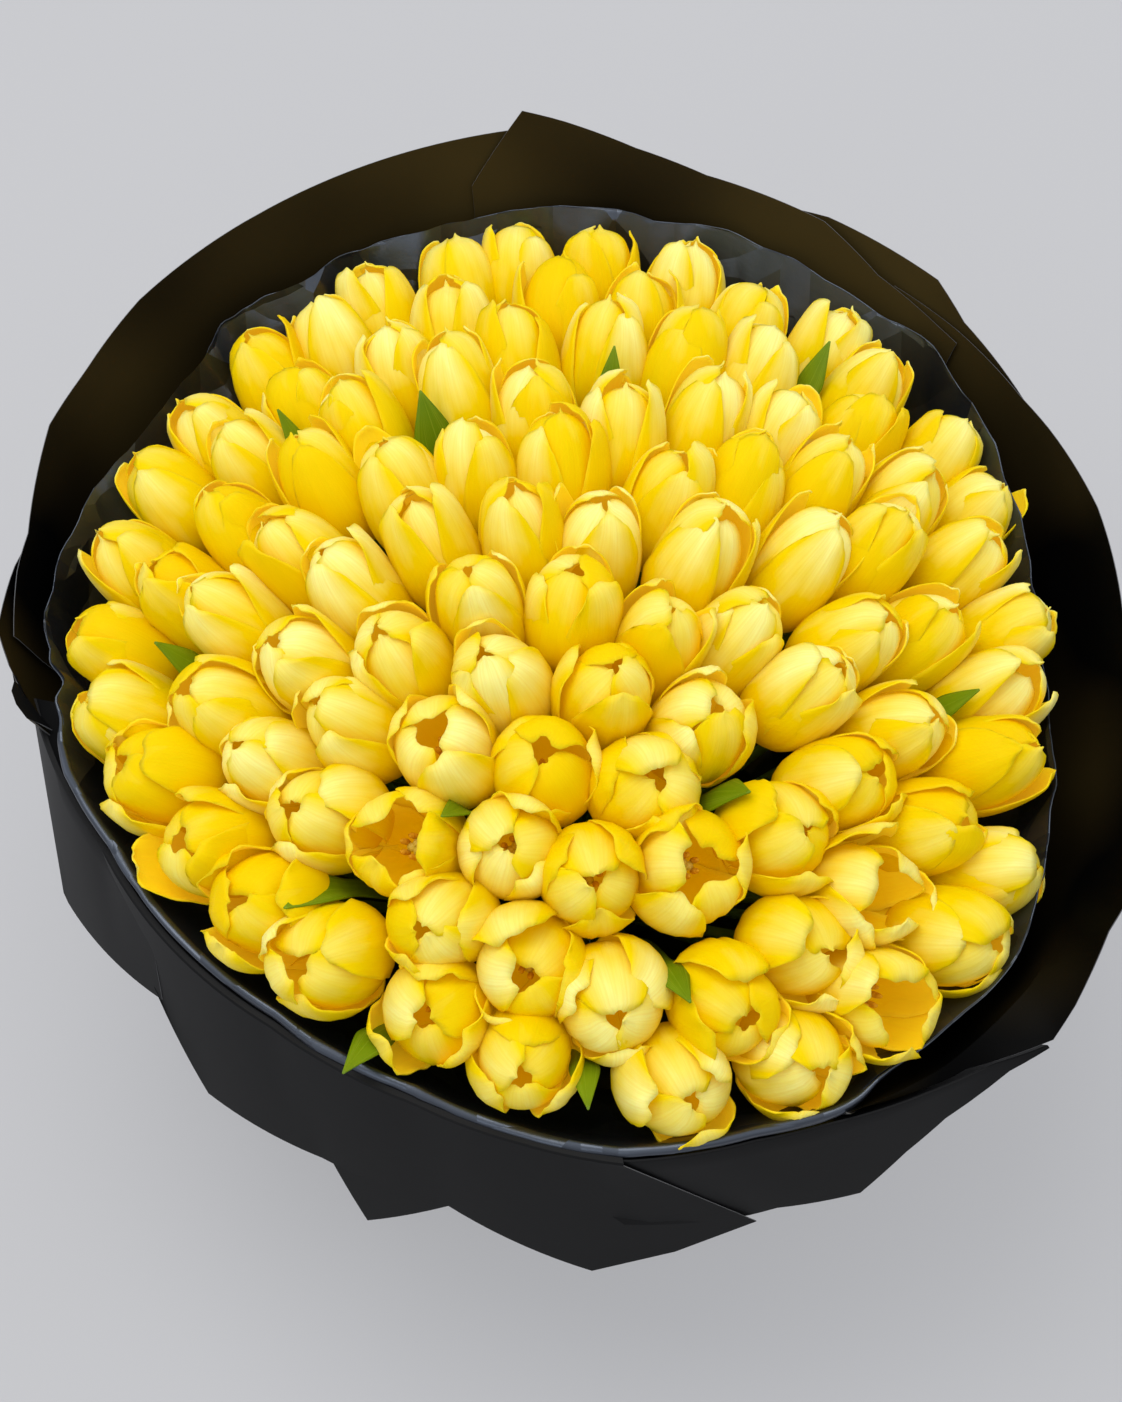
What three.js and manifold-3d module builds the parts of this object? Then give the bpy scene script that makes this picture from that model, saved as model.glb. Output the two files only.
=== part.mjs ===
// A hand-tied bunch of yellow tulips in a black wrap. Millimetres, +Z up, the cut stem ends on Z = 0.
// Every head is one solid of six petals in two layers, heads that press together are fused into sprays,
// and all stems are fused through the core where the bunch is tied. The wrap is a crinkled lining
// inside stiff sheets: those at the back stand up, those at the front fold over the rim and hang.
import * as THREE from "three";
import Module from "manifold-3d";

const wasm = await Module();
wasm.setup();
const { Manifold, Mesh } = wasm;

// ---- driving dimensions, mm and degrees ----
const HEADS = 101; // tulips in the bunch
const SEED = 52117; // fixes every random draw
const GAP = 0.4; // clearance between nodes that touch

const DOME_APEX = 420; // height of the middle head's centre
const DOME_RISE = 55; // how much lower the outermost heads sit
const DOME_REACH = 250; // radius over which the dome falls by that much
const DOME_TILT = 14; // the dome is this much higher at the back and lower at the front
const DOME_MARGIN = 36; // from the lining's rim in to the outermost head centres
const DOME_BACK = 45; // the dome and the rim sit this far behind the tie
const LEAN_MOST = 50; // lean that the heads tend to far from the tie, from upright
const LEAN_SPREAD = 170; // distance from the tie over which the lean builds up
const LEAN_DRAW = 3; // random part of a head's lean, to either side

const HEAD_RADIUS = 22.6; // belly of a closed head
const HEAD_RADIUS_OPEN = 2.8; // added to it where the heads are open
const HEAD_RADIUS_DRAW = 0.7; // random part, to either side
const HEAD_LENGTH = 76; // stem to petal tips of a closed head
const HEAD_LENGTH_OPEN = -10; // added to it where the heads are open
const HEAD_CENTRE = 0.55; // a head's centre, as a share of its length from the stem
const PRESS = 0.88; // spacing of two fused heads, as a share of their radii
const SPRAY_MOST = 3; // heads in one fused spray

const TIE_TOP = 148; // the stems run upright through the tie, between these heights
const TIE_BOTTOM = 128;
const TIE_RADIUS = 38; // the outermost stem's centre at the tie
const CORE_RADIUS = 45.4; // pressed core of stems at the tie
const CORE_HEIGHT = 24;
const WAIST_RADIUS = 46; // inside of the lining at the tie
const FOOT_RADIUS = 84; // the outermost stem's centre on the ground
const STEM_RADIUS = 3.1; // centre to edge of a four-sided stem
const TWIST = 16; // turn of the bunch from head to tie, and again from tie to ground, degrees

const RIM_MEAN = 366; // mean height of the lining's rim
const RIM_TILT = 17; // the rim is this much higher at the back and lower at the front
const LINING_THICK = 0.7;
const LINING_RIPPLE = 2; // crinkles at the rim, to either side
const LINING_ROLL = 4; // how far the rim rolls outward
const WRAP_STEP = 10; // degrees between the columns that all layers of the wrap share
const WRAP_ROWS = [0.14, 0.45, 0.78, 1]; // shares of the way from the tie to the rim
const WRAP_EASE = 0.16; // how a meridian of the wrap sags below a straight line, near the tie
const WRAP_SAG = 1.35; // and near the rim
const SHEET_THICK = 0.8;
const SHEET_FIRST = 0; // from the lining to the innermost sheet
const SHEET_STEP = 2.3; // from one layer of sheets to the next, at the tie
const SHEET_STEP_RIM = 3.6; // and at the rim
const SHEET_CLEAR = 6; // added at the rim, where the lining ripples and rolls
const SKIRT_RADIUS = 92; // hem of the sheets below the tie
const SKIRT_HEIGHT = 74;
const FOLD_WIDE = 3; // across the innermost fold of the sheets that hang over the rim
const FOLD_STEP = 3; // from one hanging flap to the next
const RIBBON_WIDTH = 15;
const RIBBON_THICK = 1.2;

// ---- finishes ----
const finish = (name, colour, roughness, metalness = 0) => ({ name, colour, roughness, metalness });
const PETAL = finish("petal_yellow", "#f3d21c", 0.55);
const GREEN = finish("stem_green", "#6f9a3d", 0.6);
const LEAF = finish("leaf_green", "#3f7d2a", 0.55);
const FILM = finish("film_black", "#15161b", 0.35);
const SHEET = finish("sheet_black", "#1d1d1f", 0.75);
const RIBBON = finish("ribbon_black", "#161618", 0.6);

// ---- small helpers ----
const radians = (degrees) => (degrees * Math.PI) / 180;
const clamp = (value, low = 0, high = 1) => Math.min(high, Math.max(low, value));
const mix = (a, b, t) => a + (b - a) * t;
const vec = (x, y, z) => new THREE.Vector3(x, y, z);
const turned = (radius, degrees) => [radius * Math.cos(radians(degrees)), radius * Math.sin(radians(degrees))];

/** A repeatable source of numbers from 0 to 1. */
function drawer(seed) {
  let state = seed >>> 0;
  return () => {
    state = (state + 0x6d2b79f5) >>> 0;
    let t = state;
    t = Math.imul(t ^ (t >>> 15), t | 1);
    t ^= t + Math.imul(t ^ (t >>> 7), t | 61);
    return ((t ^ (t >>> 14)) >>> 0) / 4294967296;
  };
}

/** Value at a place on a broken line of corners, each with a place and a value. */
function along(corners, at, place, value) {
  for (let k = 1; k < corners.length; k += 1) {
    if (at <= corners[k][place]) {
      const span = corners[k][place] - corners[k - 1][place];
      return mix(corners[k - 1][value], corners[k][value], clamp((at - corners[k - 1][place]) / span));
    }
  }
  return corners[corners.length - 1][value];
}

/** A closed solid from corner points and triangles given as index triples, facing out. */
function solid(points, triangles) {
  const make = (faces) =>
    new Manifold(
      new Mesh({
        numProp: 3,
        vertProperties: new Float32Array(points.flatMap((p) => [p.x, p.y, p.z])),
        triVerts: new Uint32Array(faces.flat()),
      }),
    );
  const made = make(triangles);
  return made.volume() < 0 ? make(triangles.map(([a, b, c]) => [a, c, b])) : made;
}

/** Triangles between two rings of indices, and a fan from one index over a ring. */
const band = (low, high, count) =>
  Array.from({ length: count }, (_, k) => {
    const next = (k + 1) % count;
    return [
      [low + k, low + next, high + next],
      [low + k, high + next, high + k],
    ];
  }).flat();
const fan = (tip, ring, count) => Array.from({ length: count }, (_, k) => [tip, ring + k, ring + ((k + 1) % count)]);

// ---- the rim of the wrap ----
// Corners of the lining's rim: direction around the rim's centre, degrees from +X, and radius.
const LINING_CORNERS = [
  { way: 0, r: 291 },
  { way: 25, r: 297 },
  { way: 50, r: 299 },
  { way: 90, r: 304 },
  { way: 125, r: 298 },
  { way: 150, r: 291 },
  { way: 172, r: 296 },
  { way: 188, r: 289 },
  { way: 215, r: 261 },
  { way: 245, r: 261 },
  { way: 266, r: 276 },
  { way: 290, r: 293 },
  { way: 308, r: 306 },
  { way: 320, r: 308 },
  { way: 335, r: 303 },
  { way: 360, r: 291 },
];
// Corners of the line where the front sheets fold over the rim.
const FOLD_CORNERS = [
  { way: 180, r: 300 },
  { way: 190, r: 291 },
  { way: 205, r: 271 },
  { way: 236, r: 267 },
  { way: 254, r: 273 },
  { way: 266, r: 285 },
  { way: 289, r: 301 },
  { way: 306, r: 318 },
  { way: 317, r: 340 },
  { way: 330, r: 345 },
];
const FOLD_HEIGHT = 345;
const SHEET_FLARE = 0.6; // how far a standing sheet leans out for each millimetre above the rim
const FLAP_SLOPE = 0.25; // how far a flap hangs out for each millimetre below its fold
const rimRadius = (way) => along(LINING_CORNERS, ((way % 360) + 360) % 360, "way", "r");
const rimHeight = (way) => RIM_MEAN + RIM_TILT * Math.sin(radians(way));

// ---- where the heads stand ----
const domeHeight = (x, y) => {
  const reach = Math.hypot(x, y - DOME_BACK) / DOME_REACH;
  return DOME_APEX - DOME_RISE * reach * reach + (DOME_TILT * (y - DOME_BACK)) / DOME_REACH;
};

/** Axis of a head at x, y: it leans away from the tie, more with distance. */
function leanAxis(x, y, extra = 0, swing = 0) {
  const away = Math.hypot(x, y);
  const lean = radians(LEAN_MOST * Math.tanh(away / LEAN_SPREAD) + extra);
  const way = Math.atan2(y, x) + radians(swing);
  return vec(Math.sin(lean) * Math.cos(way), Math.sin(lean) * Math.sin(way), Math.cos(lean));
}

/** How far apart two spots are for bodies that stand along their axes. */
function spacing(a, b) {
  const d = vec(a.x - b.x, a.y - b.y, domeHeight(a.x, a.y) - domeHeight(b.x, b.y));
  const axis = leanAxis((a.x + b.x) / 2, (a.y + b.y) / 2);
  const lengthways = d.dot(axis);
  return Math.sqrt(Math.max(0, d.lengthSq() - lengthways * lengthways) + (0.45 * lengthways) ** 2);
}

// Gaps between heads that a leaf tip comes up through: place on the dome and room that it needs.
const LEAF_SPOTS = [
  { x: -72, y: 150, room: 9 },
  { x: -205, y: 22, room: 7 },
  { x: 28, y: 185, room: 6 },
  { x: 148, y: 212, room: 6 },
  { x: 208, y: -2, room: 6 },
  { x: 82, y: -62, room: 9 },
  { x: -52, y: -72, room: 6 },
  { x: -124, y: -106, room: 7 },
  { x: -98, y: -176, room: 7 },
  { x: 56, y: -146, room: 7 },
  { x: 12, y: -192, room: 6 },
  { x: -152, y: 158, room: 5 },
];

/** Pushes the spots apart, and draws linked ones together, until each has the room that it needs. */
function relax(spots, links, rounds) {
  const key = (i, j) => i * 1000 + j;
  const linked = new Set(links.map(([i, j]) => key(Math.min(i, j), Math.max(i, j))));
  let near = [];
  for (let round = 0; round < rounds; round += 1) {
    if (round % 20 === 0) {
      near = [];
      for (let i = 0; i < spots.length; i += 1) {
        for (let j = i + 1; j < spots.length; j += 1) {
          if (Math.hypot(spots[i].x - spots[j].x, spots[i].y - spots[j].y) < 90) near.push([i, j]);
        }
      }
    }
    for (const [i, j] of near) {
      const [a, b] = [spots[i], spots[j]];
      const joined = linked.has(key(i, j));
      const want = joined ? (a.room + b.room) * PRESS : a.room + b.room + 2.8;
      const short = want - spacing(a, b);
      if (short <= 0 && !joined) continue;
      const flat = Math.max(1e-6, Math.hypot(a.x - b.x, a.y - b.y));
      const push = clamp(short * 0.35, -2, 2) / flat;
      const [dx, dy] = [(a.x - b.x) * push, (a.y - b.y) * push];
      const [forA, forB] = a.fixed ? [0, 1] : b.fixed ? [1, 0] : [0.5, 0.5];
      a.x += dx * 2 * forA;
      a.y += dy * 2 * forA;
      b.x -= dx * 2 * forB;
      b.y -= dy * 2 * forB;
    }
    for (const spot of spots) {
      const reach = Math.hypot(spot.x, spot.y - DOME_BACK);
      const way = (Math.atan2(spot.y - DOME_BACK, spot.x) * 180) / Math.PI;
      const most = rimRadius(way) - DOME_MARGIN + HEAD_RADIUS - spot.room;
      if (reach > most) {
        spot.x *= most / reach;
        spot.y = DOME_BACK + ((spot.y - DOME_BACK) * most) / reach;
      }
    }
  }
}

/** Heads in sprays of up to SPRAY_MOST: each spray grows from the head with the fewest free neighbours. */
function intoSprays(heads) {
  const free = new Set(heads.keys());
  const neighbours = heads.map((a, i) =>
    [...heads.keys()]
      .filter((j) => j !== i && spacing(a, heads[j]) < (a.room + heads[j].room) * 1.22)
      .sort((j, k) => spacing(a, heads[j]) - spacing(a, heads[k])),
  );
  const sprays = [];
  const links = [];
  while (free.size > 0) {
    const count = (i) => neighbours[i].filter((j) => free.has(j)).length;
    const first = [...free].reduce((best, i) => (count(i) < count(best) ? i : best));
    const spray = [first];
    free.delete(first);
    while (spray.length < SPRAY_MOST) {
      const choices = spray.flatMap((i) => neighbours[i].filter((j) => free.has(j)).map((j) => [i, j]));
      if (choices.length === 0) break;
      const gap = ([i, j]) => spacing(heads[i], heads[j]);
      const link = choices.reduce((best, choice) => (gap(choice) < gap(best) ? choice : best));
      links.push(link);
      spray.push(link[1]);
      free.delete(link[1]);
    }
    sprays.push(spray);
  }
  return { sprays, links };
}

/** All heads with their place, frame, size and openness, and the sprays they are fused in. */
function arrange() {
  const draw = drawer(SEED);
  const heads = [];
  for (let i = 0; i < HEADS; i += 1) {
    const [dx, dy] = turned(DOME_REACH * 1.06 * Math.sqrt((i + 0.5) / HEADS), i * 137.508);
    const x = dx + (draw() - 0.5) * 9;
    const y = DOME_BACK + dy + (draw() - 0.5) * 9;
    const front = clamp((60 - y) / 150) * clamp((230 - x) / 120, 0.35);
    const open = clamp(0.06 + 0.12 * draw() + front * (0.35 + 0.6 * draw()));
    const room = HEAD_RADIUS + HEAD_RADIUS_OPEN * open + (draw() - 0.5) * 2 * HEAD_RADIUS_DRAW;
    heads.push({ x, y, open, room, lean: (draw() - 0.5) * 2 * LEAN_DRAW, swing: (draw() - 0.5) * 8, long: draw() });
  }
  const leaves = LEAF_SPOTS.map((spot) => ({ ...spot, y: spot.y, fixed: true }));
  const spots = [...heads, ...leaves];
  relax(spots, [], 120);
  const { sprays, links } = intoSprays(heads);
  relax(spots, links, 400);
  for (const head of heads) {
    head.axis = leanAxis(head.x, head.y, head.lean, head.swing);
    head.centre = vec(head.x, head.y, domeHeight(head.x, head.y) + (head.long - 0.5) * 7);
    head.length = HEAD_LENGTH + HEAD_LENGTH_OPEN * head.open;
    head.base = head.centre.clone().addScaledVector(head.axis, -HEAD_CENTRE * head.length);
    head.across = vec(-head.axis.y, head.axis.x, 0).normalize();
    head.up = new THREE.Vector3().crossVectors(head.axis, head.across);
  }
  heads.forEach((head, i) => {
    const ways = links
      .filter((link) => link.includes(i))
      .map(([a, b]) => {
        const d = heads[a === i ? b : a].centre.clone().sub(head.centre);
        return (Math.atan2(d.dot(head.up), d.dot(head.across)) * 180) / Math.PI;
      });
    const off = (phase) =>
      ways.reduce((sum, way) => sum + Math.abs((((way - phase) % 120) + 180) % 120 - 60), 0);
    head.phase = Array.from({ length: 12 }, (_, k) => k * 10).reduce((a, b) => (off(b) < off(a) ? b : a));
  });
  const middle = ({ x, y }) => Math.hypot(x, y - DOME_BACK);
  const hub = heads.reduce((a, b) => (middle(b) < middle(a) ? b : a)); // its stem stands on the origin
  for (const spot of spots) spot.hub = hub;
  return { heads, sprays, leaves };
}

// ---- solids of the flowers ----
const COLUMNS = 12; // around a head: 0 is the middle of an outer petal, 2 that of an inner one

/** A head: six petals in two layers, cupped, with a notch between each and its neighbours. */
function headSolid(head) {
  const inner = (k) => k % 4 === 2;
  const edge = (k) => k % 2 === 1;
  const tipWay = mix(0.46, 0.96, head.open);
  const rings = [
    { high: () => 0.36, wide: (k) => (inner(k) ? 0.93 : 1) },
    { high: () => 0.74, wide: (k) => mix(0.88, 1.02, head.open) * (inner(k) ? 0.88 : 1) },
    {
      high: (k) => (inner(k) ? 0.98 : edge(k) ? 0.92 : 1),
      wide: (k) => tipWay * (inner(k) ? 0.7 : edge(k) ? 1.08 : 1),
    },
  ];
  const at = (wide, high, way) => {
    const [s, t] = turned(wide * head.room, way + head.phase);
    return head.base
      .clone()
      .addScaledVector(head.axis, high * head.length)
      .addScaledVector(head.across, s)
      .addScaledVector(head.up, t);
  };
  const points = [at(0, 0, 0)];
  for (const ring of rings) {
    for (let k = 0; k < COLUMNS; k += 1) points.push(at(ring.wide(k), ring.high(k), (k * 360) / COLUMNS));
  }
  points.push(at(0, mix(0.84, 0.5, head.open), 0));
  const start = (ring) => 1 + ring * COLUMNS;
  const last = rings.length - 1;
  return solid(points, [
    ...fan(0, start(0), COLUMNS).map(([a, b, c]) => [a, c, b]),
    ...[0, 1].flatMap((ring) => band(start(ring), start(ring + 1), COLUMNS)),
    ...fan(points.length - 1, start(last), COLUMNS),
  ]);
}

/** Where a head's stem passes at a height below: the plan of the dome, shrunk and turned about the hub. */
function stemSpot({ x, y, hub }, radius, turns, z) {
  const reach = (dx, dy) => Math.hypot(dx, dy) / (rimRadius((Math.atan2(dy, dx) * 180) / Math.PI) - DOME_MARGIN);
  const inner = 1 - clamp(reach(x, y - DOME_BACK));
  const [dx, dy] = [x - hub.x * inner, y - DOME_BACK - (hub.y - DOME_BACK) * inner];
  const way = (Math.atan2(dy, dx) * 180) / Math.PI;
  const still = x === hub.x && y === hub.y;
  const [sx, sy] = turned(still ? 0 : reach(dx, dy) * radius, way + turns * TWIST);
  return vec(sx, sy, z);
}

/** The corner points of a stem, from the ground to just below the head. */
function stemPath(head) {
  return [
    { at: stemSpot(head, FOOT_RADIUS, 2, 0), normal: vec(0, 0, 1) },
    { at: stemSpot(head, TIE_RADIUS, 1, TIE_BOTTOM + 1), normal: vec(0, 0, 1) },
    { at: stemSpot(head, TIE_RADIUS, 1, TIE_TOP - 1), normal: vec(0, 0, 1) },
    { at: head.base.clone().addScaledVector(head.axis, -GAP), normal: head.axis },
  ];
}

/** A four-sided stem along its path. */
function stemSolid(head) {
  const points = stemPath(head).flatMap(({ at, normal }) => {
    const side = new THREE.Vector3().crossVectors(normal, head.across).normalize();
    return [0, 90, 180, 270].map((way) => {
      const [s, t] = turned(STEM_RADIUS, way);
      return at.clone().addScaledVector(head.across, s).addScaledVector(side, t);
    });
  });
  const cap = (ring) => [
    [ring, ring + 1, ring + 2],
    [ring, ring + 2, ring + 3],
  ];
  return solid(points, [
    ...cap(0).map(([a, b, c]) => [a, c, b]),
    ...[0, 4, 8].flatMap((ring) => band(ring, ring + 4, 4)),
    ...cap(12),
  ]);
}

/** All stems, pressed into one core at the tie. */
function stemsSolid(heads) {
  const core = Manifold.cylinder(CORE_HEIGHT, CORE_RADIUS, CORE_RADIUS, 24).translate([
    0,
    0,
    (TIE_TOP + TIE_BOTTOM - CORE_HEIGHT) / 2,
  ]);
  return Manifold.union([core, ...heads.map(stemSolid)]);
}

/** A skin of even thickness over a grid of points, grid[column][row], closed around or cut at both ends. */
function skin(grid, thick, around = false) {
  const [columns, rows] = [grid.length, grid[0].length];
  const cell = (i, j) => grid[around ? (i + columns) % columns : clamp(i, 0, columns - 1)][clamp(j, 0, rows - 1)];
  const points = [];
  for (const side of [0, 1]) {
    for (let i = 0; i < columns; i += 1) {
      for (let j = 0; j < rows; j += 1) {
        const over = cell(i + 1, j).clone().sub(cell(i - 1, j));
        const up = cell(i, j + 1).clone().sub(cell(i, j - 1));
        const normal = over.cross(up).normalize();
        points.push(cell(i, j).clone().addScaledVector(normal, side * thick));
      }
    }
  }
  const face = (side, i, j) => side * columns * rows + (i % columns) * rows + j;
  const triangles = [];
  const quad = (a, b, c, d) => triangles.push([a, b, c], [a, c, d]);
  for (let i = 0; i < (around ? columns : columns - 1); i += 1) {
    for (let j = 0; j < rows - 1; j += 1) {
      quad(face(1, i, j), face(1, i + 1, j), face(1, i + 1, j + 1), face(1, i, j + 1));
      quad(face(0, i, j), face(0, i, j + 1), face(0, i + 1, j + 1), face(0, i + 1, j));
    }
    quad(face(0, i, 0), face(0, i + 1, 0), face(1, i + 1, 0), face(1, i, 0));
    quad(face(0, i, rows - 1), face(1, i, rows - 1), face(1, i + 1, rows - 1), face(0, i + 1, rows - 1));
  }
  if (!around) {
    for (let j = 0; j < rows - 1; j += 1) {
      quad(face(0, 0, j), face(1, 0, j), face(1, 0, j + 1), face(0, 0, j + 1));
      const last = columns - 1;
      quad(face(0, last, j), face(0, last, j + 1), face(1, last, j + 1), face(1, last, j));
    }
  }
  return solid(points, triangles);
}

// ---- solids of the wrap ----
/** A point of the wrap: t from the tie to the rim, in a direction, that far outside the lining. */
function wrapPoint(t, way, off) {
  const place = (share) => {
    const fall = WRAP_EASE * share * (1 - share) + WRAP_SAG * share ** 3 * (1 - share);
    const [x0, y0] = turned(WAIST_RADIUS, way);
    const [x1, y1] = turned(rimRadius(way), way);
    return vec(mix(x0, x1, share), mix(y0, y1 + DOME_BACK, share), mix(TIE_TOP, rimHeight(way), share - fall));
  };
  const [sx, sy] = turned(1, way);
  const climb = place(t + 0.01).sub(place(t - 0.01));
  const out = Math.hypot(climb.x, climb.y);
  const tilt = Math.hypot(out, climb.z);
  const flat = clamp(t / 0.14); // upright at the tie
  return place(t).add(vec((sx * off * mix(tilt, climb.z, flat)) / tilt, (sy * off * mix(tilt, climb.z, flat)) / tilt,
    (-off * out * flat) / tilt));
}

const rimPoint = (way, r, z) => {
  const [x, y] = turned(r, way);
  return vec(x, y + DOME_BACK, z);
};
const waistPoint = (way, r, z) => {
  const [x, y] = turned(r, way);
  return vec(x, y, z);
};

/** The crinkled film inside: from the tie up to a rim that rolls outward. */
function liningSolid() {
  const grid = [];
  for (let way = 0; way < 360; way += WRAP_STEP) {
    const ripple = (way / WRAP_STEP) % 2 === 0 ? LINING_RIPPLE : -LINING_RIPPLE;
    const r = rimRadius(way) + ripple;
    const z = rimHeight(way);
    grid.push([
      waistPoint(way, WAIST_RADIUS, TIE_BOTTOM),
      waistPoint(way, WAIST_RADIUS, TIE_TOP),
      ...WRAP_ROWS.slice(0, -1).map((t) => wrapPoint(t, way, ripple * t ** 4)),
      rimPoint(way, r, z),
      rimPoint(way, r + LINING_ROLL * 0.6, z + 2.4),
      rimPoint(way, r + LINING_ROLL, z - 1.5),
    ]);
  }
  return skin(grid, LINING_THICK, true);
}

// The stiff sheets. Each covers a span of the shared columns in a layer of its own, 1 next to the lining.
// A standing one has an edge; one that hangs over the fold has a hem, and flap is 0 next to the sheets.
const SHEETS = {
  sheet_back: {
    span: [40, 100],
    layer: 1,
    edge: [
      { way: 43, z: 381 },
      { way: 52, z: 386 },
      { way: 60, z: 399 },
      { way: 74, z: 403 },
      { way: 82, z: 411 },
      { way: 94, z: 429 },
      { way: 100, z: 392 },
    ],
  },
  sheet_back_left: {
    span: [90, 180],
    layer: 2,
    edge: [
      { way: 95, z: 417 },
      { way: 124, z: 410 },
      { way: 140, z: 408 },
      { way: 157, z: 398 },
      { way: 168, z: 376 },
      { way: 180, z: 369 },
    ],
  },
  sheet_back_right: {
    span: [30, 70],
    layer: 3,
    edge: [
      { way: 30, z: 378 },
      { way: 41, z: 386 },
      { way: 46, z: 396 },
      { way: 60, z: 397 },
      { way: 70, z: 390 },
    ],
  },
  sheet_right: {
    span: [-40, 50],
    layer: 2,
    edge: [
      { way: -43, z: 358, out: 26 },
      { way: -34, z: 389, out: 2 },
      { way: -29, z: 398 },
      { way: -11, z: 386 },
      { way: 0, z: 382 },
      { way: 14, z: 385 },
      { way: 30, z: 381 },
      { way: 41, z: 383 },
      { way: 50, z: 383 },
    ],
  },
  sheet_left: {
    span: [160, 190],
    layer: 3,
    edge: [
      { way: 160, z: 374 },
      { way: 170, z: 371 },
      { way: 180, z: 376 },
      { way: 185, z: 368 },
    ],
  },
  sheet_front_left: {
    span: [190, 220],
    foldFrom: 195,
    layer: 1,
    flap: 2,
    hem: [
      { way: 194, z: 318 },
      { way: 202, z: 271 },
      { way: 220, z: 310 },
    ],
  },
  sheet_front: {
    span: [210, 290],
    layer: 2,
    flap: 1,
    hem: [
      { way: 210, z: 282 },
      { way: 229, z: 256 },
      { way: 245, z: 268 },
      { way: 259, z: 276 },
      { way: 273, z: 251 },
      { way: 289, z: 284 },
    ],
  },
  sheet_front_right: {
    span: [280, 320],
    layer: 3,
    flap: 0,
    hem: [
      { way: 280, z: 290 },
      { way: 290, z: 286 },
      { way: 299, z: 280 },
      { way: 308, z: 318 },
      { way: 317, z: 341 },
    ],
  },
  sheet_under: {
    span: [240, 260],
    layer: 3,
    flap: 0,
    hem: [
      { way: 244, z: 262 },
      { way: 250, z: 221 },
      { way: 258, z: 272 },
    ],
  },
};

/** The point of a broken line for a column: a corner within half a step of it, or the line itself. */
function cornerFor(corners, way) {
  const close = corners.find((corner) => Math.abs(corner.way - way) < WRAP_STEP / 2);
  return { out: 0, ...(close ?? { way, z: along(corners, way, "way", "z") }) };
}

/** A sheet: hem below the tie, waist, up along the lining, then its edge or its fold and flap. */
function sheetSolid({ span, foldFrom = span[0], layer, flap, edge, hem }) {
  const off = (t) => SHEET_FIRST + layer * mix(SHEET_STEP, SHEET_STEP_RIM, t) + SHEET_CLEAR * t ** 4;
  const waist = WAIST_RADIUS + off(0);
  const grid = [];
  for (let way = span[0]; way <= span[1]; way += WRAP_STEP) {
    const column = [
      waistPoint(way, SKIRT_RADIUS + off(0), SKIRT_HEIGHT),
      waistPoint(way, waist, TIE_BOTTOM),
      waistPoint(way, waist, TIE_TOP),
      ...WRAP_ROWS.slice(0, -1).map((t) => wrapPoint(t, way, off(t))),
    ];
    if (edge) {
      const end = cornerFor(edge, way);
      const above = end.z - rimHeight(end.way);
      column.push(rimPoint(way, rimRadius(way) + off(1), rimHeight(way)));
      column.push(rimPoint(end.way, rimRadius(end.way) + off(1) + above * SHEET_FLARE + end.out, end.z));
    } else {
      const end = cornerFor(hem, way);
      const fold = (at) => along(FOLD_CORNERS, at, "way", "r") + flap * FOLD_STEP;
      const wide = 3 * SHEET_STEP_RIM + FOLD_WIDE;
      const lift = FOLD_HEIGHT + flap * FOLD_STEP;
      const turn = Math.max(way, foldFrom);
      column.push(rimPoint(turn, fold(turn) - flap * FOLD_STEP + layer * SHEET_STEP_RIM, lift));
      column.push(rimPoint(turn, fold(turn) + wide, lift - 1));
      column.push(rimPoint(end.way, fold(end.way) + wide + (lift - end.z) * FLAP_SLOPE, end.z));
    }
    grid.push(column);
  }
  return skin(grid, SHEET_THICK);
}

/** The ribbon around the gathered sheets. */
function ribbonSolid() {
  const inside = WAIST_RADIUS + GAP + SHEET_FIRST + 3 * SHEET_STEP + SHEET_THICK + 0.4;
  const ring = (r, z, high) =>
    Manifold.cylinder(high, r, r, 24).translate([0, 0, z - high / 2]);
  const middle = (TIE_TOP + TIE_BOTTOM) / 2;
  return ring(inside + RIBBON_THICK, middle, RIBBON_WIDTH).subtract(ring(inside, middle, RIBBON_WIDTH + 2));
}

// ---- leaves ----
// From the foot on the nearest stem, along the gap between the stems, and up between the heads.
const LEAF_FEET = [
  { t: 0.42, wide: 3.5 },
  { t: 0.52, wide: 4.5 },
];
const LEAF_GAPS = [
  { t: 0.72, wide: 9 },
  { t: 0.92, wide: 9.5 },
];
const LEAF_TIPS = [
  { high: -15, wide: 4 },
  { high: 8, wide: 5 },
];
const LEAF_THICK = 0.9;
const LEAF_TIP = 20; // how far the tip stands above the heads' centres
const LEAF_KEEL = 0.25; // depth of the fold along the middle, as a share of the width

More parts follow.
